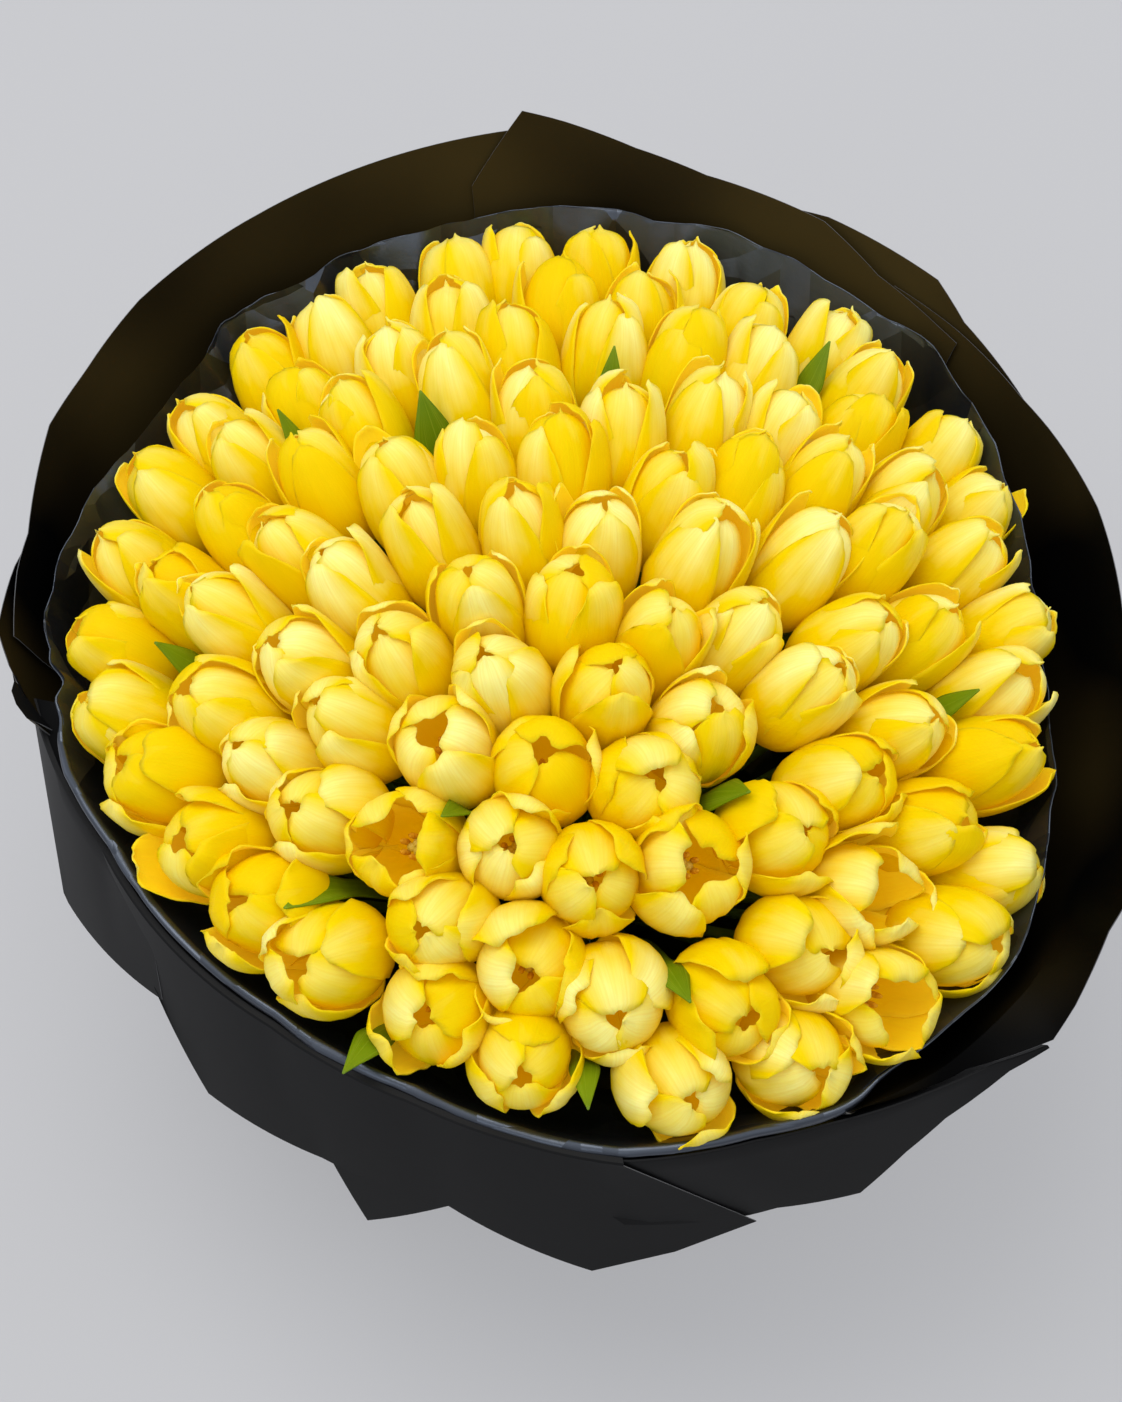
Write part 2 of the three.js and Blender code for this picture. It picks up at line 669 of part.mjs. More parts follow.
/** A leaf: a keeled blade that grows beside a stem and comes up between heads. */
function leafSolid(spot, heads) {
  const axis = leanAxis(spot.x, spot.y);
  const heart = vec(spot.x, spot.y, domeHeight(spot.x, spot.y));
  const base = heart.clone().addScaledVector(axis, -HEAD_CENTRE * HEAD_LENGTH);
  const low = stemSpot(spot, TIE_RADIUS, 1, TIE_TOP);
  const host = heads.reduce((a, b) => (spacing(spot, b) < spacing(spot, a) ? b : a));
  const [from, to] = stemPath(host).slice(2).map(({ at }) => at);
  const run = to.clone().sub(from).normalize();
  const side = new THREE.Vector3().crossVectors(run, host.across).normalize();
  const toGap = low.clone().lerp(base, 0.6).sub(from.clone().lerp(to, 0.6));
  const ways = [host.across, side].flatMap((d) => [d, d.clone().negate()]);
  const out = ways.reduce((a, b) => (b.dot(toGap) > a.dot(toGap) ? b : a));
  const footAcross = new THREE.Vector3().crossVectors(out, run).normalize().negate();
  const topAcross = vec(-axis.y, axis.x, 0).normalize();
  if (topAcross.dot(footAcross) < 0) topAcross.negate();
  const room = spot.room / 6.5;
  const row = (middle, across, up, wide, keel) => {
    const back = new THREE.Vector3().crossVectors(across, up).normalize();
    return [-1, 0, 1].map((k) =>
      middle
        .clone()
        .addScaledVector(across, k * wide)
        .addScaledVector(back, k === 0 ? 0 : wide * keel),
    );
  };
  const rows = [
    ...LEAF_FEET.map(({ t, wide }) => {
      const middle = from.clone().lerp(to, t).addScaledVector(out, STEM_RADIUS + GAP);
      return row(middle, footAcross, run, wide, 0);
    }),
    ...LEAF_GAPS.map(({ t, wide }) => row(low.clone().lerp(base, t), topAcross, axis, wide, LEAF_KEEL)),
    ...LEAF_TIPS.map(({ high, wide }) =>
      row(heart.clone().addScaledVector(axis, high), topAcross, axis, wide * room, LEAF_KEEL),
    ),
    row(heart.clone().addScaledVector(axis, LEAF_TIP + spot.room), topAcross, axis, 0.6, 0),
  ];
  return skin([0, 1, 2].map((column) => rows.map((cells) => cells[column])), LEAF_THICK);
}

// ---- the bunch ----
function meshOf(name, part, { name: material, colour, roughness, metalness }) {
  const { vertProperties, triVerts, numProp } = part.getMesh();
  const positions = new Float32Array((vertProperties.length / numProp) * 3);
  for (let v = 0; v < positions.length / 3; v += 1) {
    for (let k = 0; k < 3; k += 1) positions[v * 3 + k] = vertProperties[v * numProp + k];
  }
  const geometry = new THREE.BufferGeometry();
  geometry.setAttribute("position", new THREE.BufferAttribute(positions, 3));
  geometry.setIndex(new THREE.BufferAttribute(new Uint32Array(triVerts), 1));
  geometry.computeVertexNormals();
  const skinOf = new THREE.MeshStandardMaterial({ name: material, color: colour, roughness, metalness });
  const mesh = new THREE.Mesh(geometry, skinOf);
  mesh.name = name;
  return mesh;
}

const two = (k) => String(k + 1).padStart(2, "0");
const bunch = new THREE.Group();
bunch.name = "tulip_bunch";
const { heads, sprays, leaves } = arrange();
sprays.forEach((spray, k) => {
  const fused = Manifold.union(spray.map((i) => headSolid(heads[i])));
  bunch.add(meshOf(`heads_${two(k)}`, fused, PETAL));
});
bunch.add(meshOf("stems", stemsSolid(heads), GREEN));
leaves.forEach((spot, k) => bunch.add(meshOf(`leaf_${two(k)}`, leafSolid(spot, heads), LEAF)));
bunch.add(meshOf("lining", liningSolid(), FILM));
for (const [name, sheet] of Object.entries(SHEETS)) bunch.add(meshOf(name, sheetSolid(sheet), SHEET));
bunch.add(meshOf("ribbon", ribbonSolid(), RIBBON));

export default bunch;
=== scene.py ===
"""A hand-tied bunch of yellow tulips in a black wrap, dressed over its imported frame."""

from __future__ import annotations

import itertools
import logging
import math
from dataclasses import dataclass, field
from enum import Enum
from typing import Any, Callable, Sequence

import bpy
import numpy as np
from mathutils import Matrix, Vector, noise

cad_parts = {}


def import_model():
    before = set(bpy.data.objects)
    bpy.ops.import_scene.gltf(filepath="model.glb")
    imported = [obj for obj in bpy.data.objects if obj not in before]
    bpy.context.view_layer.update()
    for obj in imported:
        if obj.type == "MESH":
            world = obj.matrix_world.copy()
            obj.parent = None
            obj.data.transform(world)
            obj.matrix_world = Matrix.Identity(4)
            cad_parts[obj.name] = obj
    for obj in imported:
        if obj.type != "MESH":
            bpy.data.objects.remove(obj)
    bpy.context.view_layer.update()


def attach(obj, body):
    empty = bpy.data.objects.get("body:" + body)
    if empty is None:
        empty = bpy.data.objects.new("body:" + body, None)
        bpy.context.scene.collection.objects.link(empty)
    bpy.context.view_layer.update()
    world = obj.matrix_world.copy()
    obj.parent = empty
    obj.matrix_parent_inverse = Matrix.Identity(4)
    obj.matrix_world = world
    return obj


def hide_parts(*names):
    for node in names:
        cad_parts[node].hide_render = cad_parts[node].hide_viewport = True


LOG = logging.getLogger("tulip_bunch")
MM = 0.001  # the layout is in millimetres, the scene in metres
Row = tuple[float, ...]
Table = tuple[Row, ...]
Colour = tuple[float, ...]  # red, green and blue, and where a shader wants it a fourth
Object = bpy.types.Object
Socket = bpy.types.NodeSocket


# ---- small helpers ----
def clamp(value: float, low: float = 0.0, high: float = 1.0) -> float:
    """The value, kept between low and high."""
    return min(high, max(low, value))


def mix(a: float, b: float, t: float) -> float:
    """The value at share t of the way from a to b."""
    return a + (b - a) * t


def smooth(t: float) -> float:
    """An even step from 0 to 1."""
    t = clamp(t)
    return t * t * (3 - 2 * t)


def turned(radius: float, degrees: float) -> tuple[float, float]:
    """The plane point at a radius in a direction from +X."""
    way = math.radians(degrees)
    return radius * math.cos(way), radius * math.sin(way)


def direction(x: float, y: float) -> float:
    """The direction of a plane point from +X, in degrees."""
    return math.degrees(math.atan2(y, x))


def bend(a: Vector, b: Vector, c: Vector, t: float) -> Vector:
    """The point at share t of the curve from a to c that bends towards b."""
    return a.lerp(b, t).lerp(b.lerp(c, t), t)


def along(corners: Sequence[tuple[float, float]], at: float) -> float:
    """The value at a place on a broken line.

    Args:
        corners: pairs of place and value, by place.
        at: the place that is asked for.

    Returns:
        The value between the two corners round the place.
    """
    for (p0, v0), (p1, v1) in zip(corners, corners[1:]):
        if at <= p1:
            return mix(v0, v1, clamp((at - p0) / (p1 - p0)))
    return corners[-1][1]


class Draws:
    """A repeatable source of numbers from 0 to 1."""

    WORD = 0xFFFFFFFF

    def __init__(self, seed: int) -> None:
        """Starts the source at a seed."""
        self.state = seed & self.WORD

    def one(self) -> float:
        """The next number."""
        self.state = (self.state + 0x6D2B79F5) & self.WORD
        t = self.state
        t = ((t ^ (t >> 15)) * (t | 1)) & self.WORD
        t ^= (t + (((t ^ (t >> 7)) * (t | 61)) & self.WORD)) & self.WORD
        return ((t ^ (t >> 14)) & self.WORD) / (self.WORD + 1)

    def between(self, low: float, high: float) -> float:
        """The next number, between low and high."""
        return low + (high - low) * self.one()

    def around(self, width: float) -> float:
        """The next number, in a range of that width round 0."""
        return (self.one() - 0.5) * width


# ---- where everything stands, as in the frame ----
@dataclass
class Spot:
    """A head, or the gap between heads that a leaf comes up through."""

    x: float
    y: float
    room: float
    fixed: bool = False
    open: float = 0.0
    lean: float = 0.0
    swing: float = 0.0
    lift: float = 0.5
    length: float = 0.0
    phase: float = 0.0
    axis: Vector = field(default_factory=Vector)
    centre: Vector = field(default_factory=Vector)
    base: Vector = field(default_factory=Vector)
    across: Vector = field(default_factory=Vector)
    up: Vector = field(default_factory=Vector)


@dataclass
class Wrap:
    """The surfaces of the wrap: a lining, and sheets in layers outside it."""

    waist_radius: float = 46
    tie_top: float = 148
    tie_bottom: float = 128
    dome_back: float = 45  # how far behind the tie the middle of the dome and of the rim is
    rim_mean: float = 366
    rim_tilt: float = 17
    ease: float = 0.16
    sag: float = 1.35
    step: float = 2.3
    step_rim: float = 3.6
    clear: float = 6
    skirt_radius: float = 92
    skirt_height: float = 74
    flare: float = 0.6
    crest_height: float = 347
    lining: Table = (
        (0, 291), (25, 297), (50, 299), (90, 304), (125, 298), (150, 291), (172, 296), (188, 289),
        (215, 261), (245, 261), (266, 276), (290, 293), (308, 306), (320, 308), (335, 303), (360, 291),
    )  # direction round the rim's centre and radius of the lining's rim
    crest: Table = (
        (180, 305), (185.5, 299), (190, 294), (206.5, 277), (218, 275), (236, 271.5), (244, 274), (254, 278),
        (266, 290), (276, 302), (289, 306), (296, 312), (306, 325), (312, 334), (317, 348), (325, 350),
    )  # and of the line where the front sheets fold over

    def rim_radius(self, way: float) -> float:
        """Radius of the lining's rim in a direction."""
        return along(self.lining, way % 360)

    def rim_height(self, way: float) -> float:
        """Height of the lining's rim in a direction."""
        return self.rim_mean + self.rim_tilt * math.sin(math.radians(way))

    def at_rim(self, way: float, r: float, z: float) -> Vector:
        """A point by its direction and radius round the rim's centre."""
        x, y = turned(r, way)
        return Vector((x, y + self.dome_back, z))

    def at_waist(self, way: float, r: float, z: float) -> Vector:
        """A point by its direction and radius round the tie."""
        return Vector((*turned(r, way), z))

    def place(self, share: float, way: float) -> Vector:
        """A point of the lining's form.

        Args:
            share: the share of the way from the tie to the rim.
            way: its direction, in degrees.

        Returns:
            The point, in mm.
        """
        fall = self.ease * share * (1 - share) + self.sag * share**3 * (1 - share)
        x0, y0 = turned(self.waist_radius, way)
        x1, y1 = turned(self.rim_radius(way), way)
        z = mix(self.tie_top, self.rim_height(way), share - fall)
        return Vector((mix(x0, x1, share), mix(y0, y1 + self.dome_back, share), z))

    def point(self, t: float, way: float, off: float) -> Vector:
        """A point of the wrap.

        Args:
            t: the share of the way from the tie to the rim.
            way: its direction, in degrees.
            off: how far outside the lining's form it is, in mm.

        Returns:
            The point, in mm.
        """
        sx, sy = turned(1, way)
        climb = self.place(t + 0.01, way) - self.place(t - 0.01, way)
        out = math.hypot(climb.x, climb.y)
        tilt = math.hypot(out, climb.z)
        flat = clamp(t / 0.14)
        side = mix(tilt, climb.z, flat) * off / tilt
        return self.place(t, way) + Vector((sx * side, sy * side, -off * out * flat / tilt))

    def off(self, layer: int, t: float, tight: float = 0.0) -> float:
        """How far outside the lining a layer of sheets lies; tight is 1 where it is pressed to it."""
        return layer * mix(self.step, mix(self.step_rim, 0.9, tight), t) + self.clear * (1 - tight) * t**4

    def front(self, way: float) -> float:
        """How far a direction is in the front, where the sheets fold over, 0 to 1."""
        return smooth((way - 186) / 12) * smooth((308 - way) / 14)


@dataclass
class Layout:
    """The rule that sets out the heads, the sprays that they are in, the stems and the leaves."""

    wrap: Wrap
    count: int = 101
    seed: int = 52117
    apex: float = 420
    rise: float = 55
    reach: float = 250  # radius of the dome of heads
    tilt: float = 14
    margin: float = 36
    lean_most: float = 50
    lean_spread: float = 170
    head_radius: float = 22.6
    head_length: float = 76
    head_centre: float = 0.55
    press: float = 0.88
    gap: float = 2.8  # between heads of two sprays
    near: float = 90  # heads further apart than this don't push each other
    stiff: float = 0.35  # share of an overlap that is taken away at a time
    most_push: float = 2  # and the most that it may be, mm
    rounds: tuple[int, int] = (120, 400)  # of pushing, before and after the sprays are chosen
    touch: float = 1.22  # heads closer than this share of their room are neighbours
    shrink: float = 10  # how much shorter an open head is than a closed one, mm
    uneven: float = 7  # how much the heads' heights differ at random, mm
    golden: float = 137.508  # the turn from one head to the next as they are first set out, degrees
    draw_in: tuple[float, float] = (0.045, 0.034)  # share by which the dome is drawn in, left and right
    to_front: float = 8  # how far it leans to the front, mm
    sink: float = 7  # and how far it sinks at the back
    spray_most: int = 3
    tie_radius: float = 38
    foot_radius: float = 84
    twist: float = 16
    leaf_spots: Table = (
        (-72, 150, 9), (-205, 22, 7), (28, 185, 6), (148, 212, 6), (208, -2, 6), (82, -62, 9),
        (-52, -72, 6), (-124, -106, 7), (-98, -176, 7), (56, -146, 7), (12, -192, 6), (-152, 158, 5),
    )
    heads: list[Spot] = field(default_factory=list)
    leaves: list[Spot] = field(default_factory=list)
    sprays: list[list[int]] = field(default_factory=list)
    hub: Spot | None = None

    def height(self, x: float, y: float) -> float:
        """Height of the dome of heads over a place, in mm."""
        back = y - self.wrap.dome_back
        share = math.hypot(x, back) / self.reach
        return self.apex - self.rise * share * share + self.tilt * back / self.reach

    def leaning(self, x: float, y: float) -> float:
        """How far the heads at a place lean away from the tie, in degrees."""
        return self.lean_most * math.tanh(math.hypot(x, y) / self.lean_spread)

    def lean_axis(self, x: float, y: float, extra: float = 0, swing: float = 0) -> Vector:
        """Axis of a head at a place.

        Args:
            x: the place, in mm.
            y: and its other part.
            extra: how much more than its neighbours it leans, in degrees.
            swing: how far its lean is turned from theirs, in degrees.

        Returns:
            The axis, of length 1.
        """
        lean = math.radians(self.leaning(x, y) + extra)
        way = math.atan2(y, x) + math.radians(swing)
        return Vector((math.sin(lean) * math.cos(way), math.sin(lean) * math.sin(way), math.cos(lean)))

    def spacing(self, a: Spot, b: Spot) -> float:
        """How far apart two bodies are that stand along their axes.

        Args:
            a: the one.
            b: the other.

        Returns:
            The distance, in mm, in which what lies along the axes counts less.
        """
        mx, my = (a.x + b.x) / 2, (a.y + b.y) / 2
        dx, dy, dz = a.x - b.x, a.y - b.y, self.height(a.x, a.y) - self.height(b.x, b.y)
        lean = math.radians(self.leaning(mx, my))
        way = math.atan2(my, mx)
        part = math.sin(lean)
        length = dx * part * math.cos(way) + dy * part * math.sin(way) + dz * math.cos(lean)
        return math.sqrt(max(0.0, dx * dx + dy * dy + dz * dz - length * length) + (0.45 * length) ** 2)

    def relax(self, spots: list[Spot], links: list[tuple[int, int]], rounds: int) -> None:
        """Pushes spots apart, and draws linked ones together, until each has its room.

        Args:
            spots: the heads and the gaps for leaves, which are moved.
            links: the pairs of places in spots that press together.
            rounds: how often all are pushed.
        """
        linked = {(min(link), max(link)) for link in links}
        pairs = list(itertools.combinations(range(len(spots)), 2))
        near: list[tuple[int, int]] = []
        back = self.wrap.dome_back
        for turn in range(rounds):
            if turn % 20 == 0:
                near = [
                    (i, j)
                    for i, j in pairs
                    if math.hypot(spots[i].x - spots[j].x, spots[i].y - spots[j].y) < self.near
                ]
            for i, j in near:
                a, b = spots[i], spots[j]
                joined = (i, j) in linked
                want = (a.room + b.room) * self.press if joined else a.room + b.room + self.gap
                short = want - self.spacing(a, b)
                if short <= 0 and not joined:
                    continue
                push = clamp(short * self.stiff, -self.most_push, self.most_push)
                push /= max(1e-6, math.hypot(a.x - b.x, a.y - b.y))
                dx, dy = (a.x - b.x) * push, (a.y - b.y) * push
                for_a, for_b = (0, 1) if a.fixed else (1, 0) if b.fixed else (0.5, 0.5)
                a.x += dx * 2 * for_a
                a.y += dy * 2 * for_a
                b.x -= dx * 2 * for_b
                b.y -= dy * 2 * for_b
            for spot in spots:
                reach = math.hypot(spot.x, spot.y - back)
                way = direction(spot.x, spot.y - back)
                most = self.wrap.rim_radius(way) - self.margin + self.head_radius - spot.room
                if reach > most:
                    spot.x *= most / reach
                    spot.y = back + (spot.y - back) * most / reach

    def into_sprays(self) -> list[tuple[int, int]]:
        """Groups the heads into sprays.

        Returns:
            The pairs of heads that each spray grew by.
        """
        free = dict.fromkeys(range(len(self.heads)))
        spots, neighbours, links = self.heads, [], []
        for i, a in enumerate(spots):
            close = sorted((self.spacing(a, b), j) for j, b in enumerate(spots) if j != i)
            neighbours.append([j for gap, j in close if gap < (a.room + spots[j].room) * self.touch])
        while free:
            first = min(free, key=lambda i: sum(j in free for j in neighbours[i]))
            spray = [first]
            del free[first]
            while len(spray) < self.spray_most:
                choices = [(i, j) for i in spray for j in neighbours[i] if j in free]
                if not choices:
                    break
                link = min(choices, key=lambda pair: self.spacing(spots[pair[0]], spots[pair[1]]))
                links.append(link)
                spray.append(link[1])
                del free[link[1]]
            self.sprays.append(spray)
        return links

    def arrange(self) -> None:
        """Sets out every head with its frame, and the leaves' gaps."""
        draw = Draws(self.seed)
        back = self.wrap.dome_back
        for i in range(self.count):
            dx, dy = turned(self.reach * 1.06 * math.sqrt((i + 0.5) / self.count), i * self.golden)
            x, y = dx + draw.around(9), back + dy + draw.around(9)
            front = clamp((60 - y) / 150) * clamp((230 - x) / 120, 0.35)
            opened = clamp(0.06 + 0.12 * draw.one() + front * (0.35 + 0.6 * draw.one()))
            room = self.head_radius + 2.8 * opened + draw.around(1.4)
            self.heads.append(Spot(x, y, room, False, opened, draw.around(6), draw.around(8), draw.one()))
        self.leaves = [Spot(*spot, True) for spot in self.leaf_spots]
        spots = self.heads + self.leaves
        self.relax(spots, [], self.rounds[0])
        links = self.into_sprays()
        self.relax(spots, links, self.rounds[1])
        for head in self.heads:
            head.axis = self.lean_axis(head.x, head.y, head.lean, head.swing)
            lift = (head.lift - 0.5) * self.uneven
            head.centre = Vector((head.x, head.y, self.height(head.x, head.y) + lift))
            head.length = self.head_length - self.shrink * head.open
            head.base = head.centre - head.axis * (self.head_centre * head.length)
            head.across = Vector((-head.axis.y, head.axis.x, 0)).normalized()
            head.up = head.axis.cross(head.across)
        for i, head in enumerate(self.heads):
            head.phase = self.phase_of(i, [link for link in links if i in link])
        self.hub = min(self.heads, key=lambda head: math.hypot(head.x, head.y - back))
        for head in self.heads:
            sunk = self.settled(head.centre) - head.centre
            head.centre = head.centre + sunk
            head.base = head.base + sunk

    def settled(self, at: Vector) -> Vector:
        """Where a point of the dome comes to rest, as the wrap's weight draws it in and to the front.

        Args:
            at: the point, in mm.

        Returns:
            Its place at rest.
        """
        behind = (at.y - self.wrap.dome_back) / self.reach
        ahead = 1 + 0.6 * smooth(-behind * 2 - 0.6)
        inward = -at.x * self.draw_in[at.x > 0]
        return at + Vector((inward, -self.to_front * ahead, -self.sink * clamp(behind)))

    def phase_of(self, i: int, links: list[tuple[int, int]]) -> float:
        """The turn of a head that points its outer petals at its neighbours in the spray.

        Args:
            i: which head it is.
            links: the pairs that it is in.

        Returns:
            The turn about its axis, in degrees.
        """
        ways = []
        for a, b in links:
            d = self.heads[b if a == i else a].centre - self.heads[i].centre
            ways.append(direction(d.dot(self.heads[i].across), d.dot(self.heads[i].up)))

        def off(phase: float) -> float:
            """How far, in all, the neighbours are from the middles of outer petals."""
            return sum(abs((way - phase + 180) % 120 - 60) for way in ways)

        return min((k * 10 for k in range(12)), key=off)

    def stem_spot(self, spot: Spot, radius: float, turns: int, z: float) -> Vector:
        """Where a head's stem passes below: the dome's plan, shrunk and turned about the hub.

        Args:
            spot: the head, or a leaf's gap.
            radius: how far the plan reaches there.
            turns: how often it has turned by the spiral's twist.
            z: the height.

        Returns:
            The point, in mm.
        """
        back = self.wrap.dome_back

        def share(dx: float, dy: float) -> float:
            """How far out a place of the dome is, 0 to 1."""
            return math.hypot(dx, dy) / (self.wrap.rim_radius(direction(dx, dy)) - self.margin)

        if spot is self.hub:
            return Vector((0, 0, z))
        inner = 1 - clamp(share(spot.x, spot.y - back))
        dx = spot.x - self.hub.x * inner
        dy = spot.y - back - (self.hub.y - back) * inner
        return Vector((*turned(share(dx, dy) * radius, direction(dx, dy) + turns * self.twist), z))

    def stem_path(self, spot: Spot) -> list[Vector]:
        """The corners of a stem, from the ground to the head."""
        tie = (self.wrap.tie_bottom + 1, self.wrap.tie_top - 1)
        low = [self.stem_spot(spot, self.tie_radius, 1, z) for z in tie]
        return [self.stem_spot(spot, self.foot_radius, 2, 0), *low, spot.base.copy()]


# ---- finishes ----
def shade(red: int, green: int, blue: int) -> Colour:
    """A display colour as the linear colour that a shader takes.

    Args:
        red: its red, 0 to 255.
        green: its green.
        blue: its blue.

    Returns:
        The colour, with a fourth part of 1.
    """
    parts = [v / 255 for v in (red, green, blue)]
    linear = [v / 12.92 if v <= 0.04045 else ((v + 0.055) / 1.055) ** 2.4 for v in parts]
    return (*linear, 1.0)


class Shader:
    """Builds one material from nodes."""

    def __init__(self, name: str, **sockets: Any) -> None:
        """Makes the material, with a Principled shader that has these sockets set."""
        self.material = bpy.data.materials.new(name)
        self.material.use_nodes = True
        self.tree = self.material.node_tree
        self.principled = self.tree.nodes["Principled BSDF"]
        self.skin(**sockets)

    def put(self, node: bpy.types.Node, **sockets: Any) -> bpy.types.Node:
        """Sets or links a node's inputs.

        Args:
            node: the node.
            sockets: values or sockets by the input's name, with _ for a space, or by i and its number.

        Returns:
            The node.
        """
        for key, value in sockets.items():
            words = key.replace("_", " ")
            numbered = words[0] == "i" and words[1:].isdigit()
            socket = node.inputs[int(words[1:]) if numbered else words]
            if isinstance(value, Socket):
                self.tree.links.new(value, socket)
            else:
                socket.default_value = value
        return node

    def skin(self, **sockets: Any) -> None:
        """Sets or links inputs of the Principled shader."""
        self.put(self.principled, **sockets)

    def node(self, kind: str, facts: dict[str, str] | None = None, **sockets: Any) -> bpy.types.Node:
        """Adds a node.

        Args:
            kind: its type's name, without ShaderNode.
            facts: its properties.
            sockets: its inputs, as put takes them.

        Returns:
            The node.
        """
        made = self.tree.nodes.new("ShaderNode" + kind)
        for key, value in (facts or {}).items():
            setattr(made, key, value)
        return self.put(made, **sockets)

    def maths(self, kind: str, a: Any, b: Any = 0.0) -> Socket:
        """The result of one sum."""
        return self.node("Math", {"operation": kind}, i0=a, i1=b).outputs[0]

    def spread(
        self, value: Socket, low: float, high: float, to_low: float = 0.0, to_high: float = 1.0
    ) -> Socket:
        """The value, moved from one range to another and kept in it."""
        limits = {"From_Min": low, "From_Max": high, "To_Min": to_low, "To_Max": to_high}
        return self.node("MapRange", {}, Value=value, **limits).outputs[0]

    def blend(self, share: Any, a: Any, b: Any) -> Socket:
        """A colour that share of the way from a to b."""
        return self.node("Mix", {"data_type": "RGBA"}, i0=share, i6=a, i7=b).outputs[2]

    def ramp(self, value: Socket, stops: Sequence[tuple[float, Colour]]) -> Socket:
        """A colour by a value.

        Args:
            value: the value, 0 to 1.
            stops: places from 0 to 1 with the colour at each.

        Returns:
            The colour's socket.
        """
        made = self.node("ValToRGB", {}, i0=value)
        line = made.color_ramp
        while len(line.elements) < len(stops):
            line.elements.new(0.5)
        for element, (place, colour) in zip(line.elements, stops):
            element.position, element.color = place, colour
        return made.outputs[0]

    def uv(self, across: float = 1, along_it: float = 1) -> Socket:
        """The surface's own coordinates, scaled."""
        source = self.node("UVMap", {"uv_map": "surface"}).outputs[0]
        return self.node("Mapping", {}, i0=source, Scale=(across, along_it, 1)).outputs[0]

    def place(self, scale: float = 1.0) -> Socket:
        """Object coordinates, scaled."""
        source = self.node("TexCoord").outputs["Object"]
        return self.node("Mapping", {}, i0=source, Scale=(scale, scale, scale)).outputs[0]

    def noise(self, vector: Socket, detail: float = 2.0, rough: float = 0.5, scale: float = 1.0) -> Socket:
        """A noise value over a vector."""
        sizes = {"Scale": scale, "Detail": detail, "Roughness": rough}
        return self.node("TexNoise", {}, Vector=vector, **sizes).outputs[0]

    def number(self, name: str) -> Socket:
        """A number that the mesh holds at each point."""
        return self.node("Attribute", {"attribute_name": name}).outputs["Fac"]

    def bump(self, height: Socket, strength: float, distance: float) -> None:
        """Roughens the surface, over what bumps it has.

        Args:
            height: the height, 0 to 1.
            strength: how much of it shows.
            distance: what a height of 1 stands for, in m.
        """
        made = self.node("Bump", {}, Strength=strength, Distance=distance, Height=height)
        before = self.principled.inputs["Normal"]
        if before.is_linked:
            self.put(made, Normal=before.links[0].from_socket)
        self.skin(Normal=made.outputs[0])


@dataclass(frozen=True)
class PetalFinish:
    """A petal's skin: pale at the rim and tip, golden towards the foot, with fine ribs. Its pale crown is
    partly a painted highlight, its golden foot partly painted shade, and its emission a painted glow.
    """

    name: str
    foot: Colour
    body: Colour
    crown_and_highlight: Colour
    rim: Colour
    deep: Colour
    roughness: float = 0.46
    painted_glow: Colour = (0.84, 0.6, 0.0, 1.0)  # painted light: an emission colour that stands in for the light that comes through the petal, at its tip and foot
    painted_glow_low: Colour = (0.9, 0.56, 0.0, 1.0)
    painted_glow_share: float = 0.04

    def make(self) -> bpy.types.Material:
        """Builds the material."""
        s = Shader(self.name, Roughness=self.roughness, Subsurface_Weight=0.15, Subsurface_Scale=0.002)
        # the emission strength sets how strongly the painted glow shows
        s.skin(Subsurface_Radius=(1.0, 0.62, 0.08), Emission_Strength=self.painted_glow_share)
        s.skin(Specular_IOR_Level=0.1, Specular_Tint=(1.0, 0.86, 0.4, 1.0))
        across, high, _ = s.node("SeparateXYZ", {}, i0=s.uv()).outputs
        tone = s.number("tone")
        cloud = s.noise(s.uv(1.6, 1.1), scale=1.6)
        lift = s.maths("ADD", high, s.spread(cloud, 0.3, 0.7, -0.16, 0.16))
        side = s.maths("ABSOLUTE", s.maths("SUBTRACT", across, 0.5))
        # golden towards the foot: partly the petal's own colour, partly painted shade low in the head
        colour = s.ramp(lift, ((0.0, self.foot), (0.16, self.deep), (0.5, self.body)))
        # pale crown over the outward middle and upper part of each petal: partly its own paler tone, partly a
        # painted highlight
        middle = s.maths("MULTIPLY", s.spread(side, 0.08, 0.46, 1, 0.15), s.spread(lift, 0.35, 0.8))
        pale = s.spread(s.maths("MULTIPLY", middle, s.spread(tone, 0.1, 0.9, 0.1, 1.0)), 0.24, 0.86)
        colour = s.blend(s.spread(tone, 0, 0.45, 0.6, 0.0), colour, self.deep)
        colour = s.blend(pale, colour, self.crown_and_highlight)
        edge = s.maths("MAXIMUM", s.spread(side, 0.44, 0.5), s.spread(high, 0.96, 1.0))
        colour = s.blend(s.maths("MULTIPLY", edge, 0.3), colour, self.rim)
        ribs = s.noise(s.uv(34, 1.3), 3, 0.62)
        colour = s.blend(s.spread(ribs, 0.42, 0.72, 0.0, 0.3), colour, self.deep)
        # painted light: the petal glows with this emission colour, brighter towards the tip, in place of
        # light shining through it
        lit = s.ramp(high, ((0.25, self.painted_glow_low), (0.9, self.painted_glow)))
        s.skin(Base_Color=colour, Emission_Color=lit)
        s.bump(ribs, 0.35, 0.0006)
        s.bump(s.noise(s.uv(5, 2.4)), 0.35, 0.0012)
        return s.material


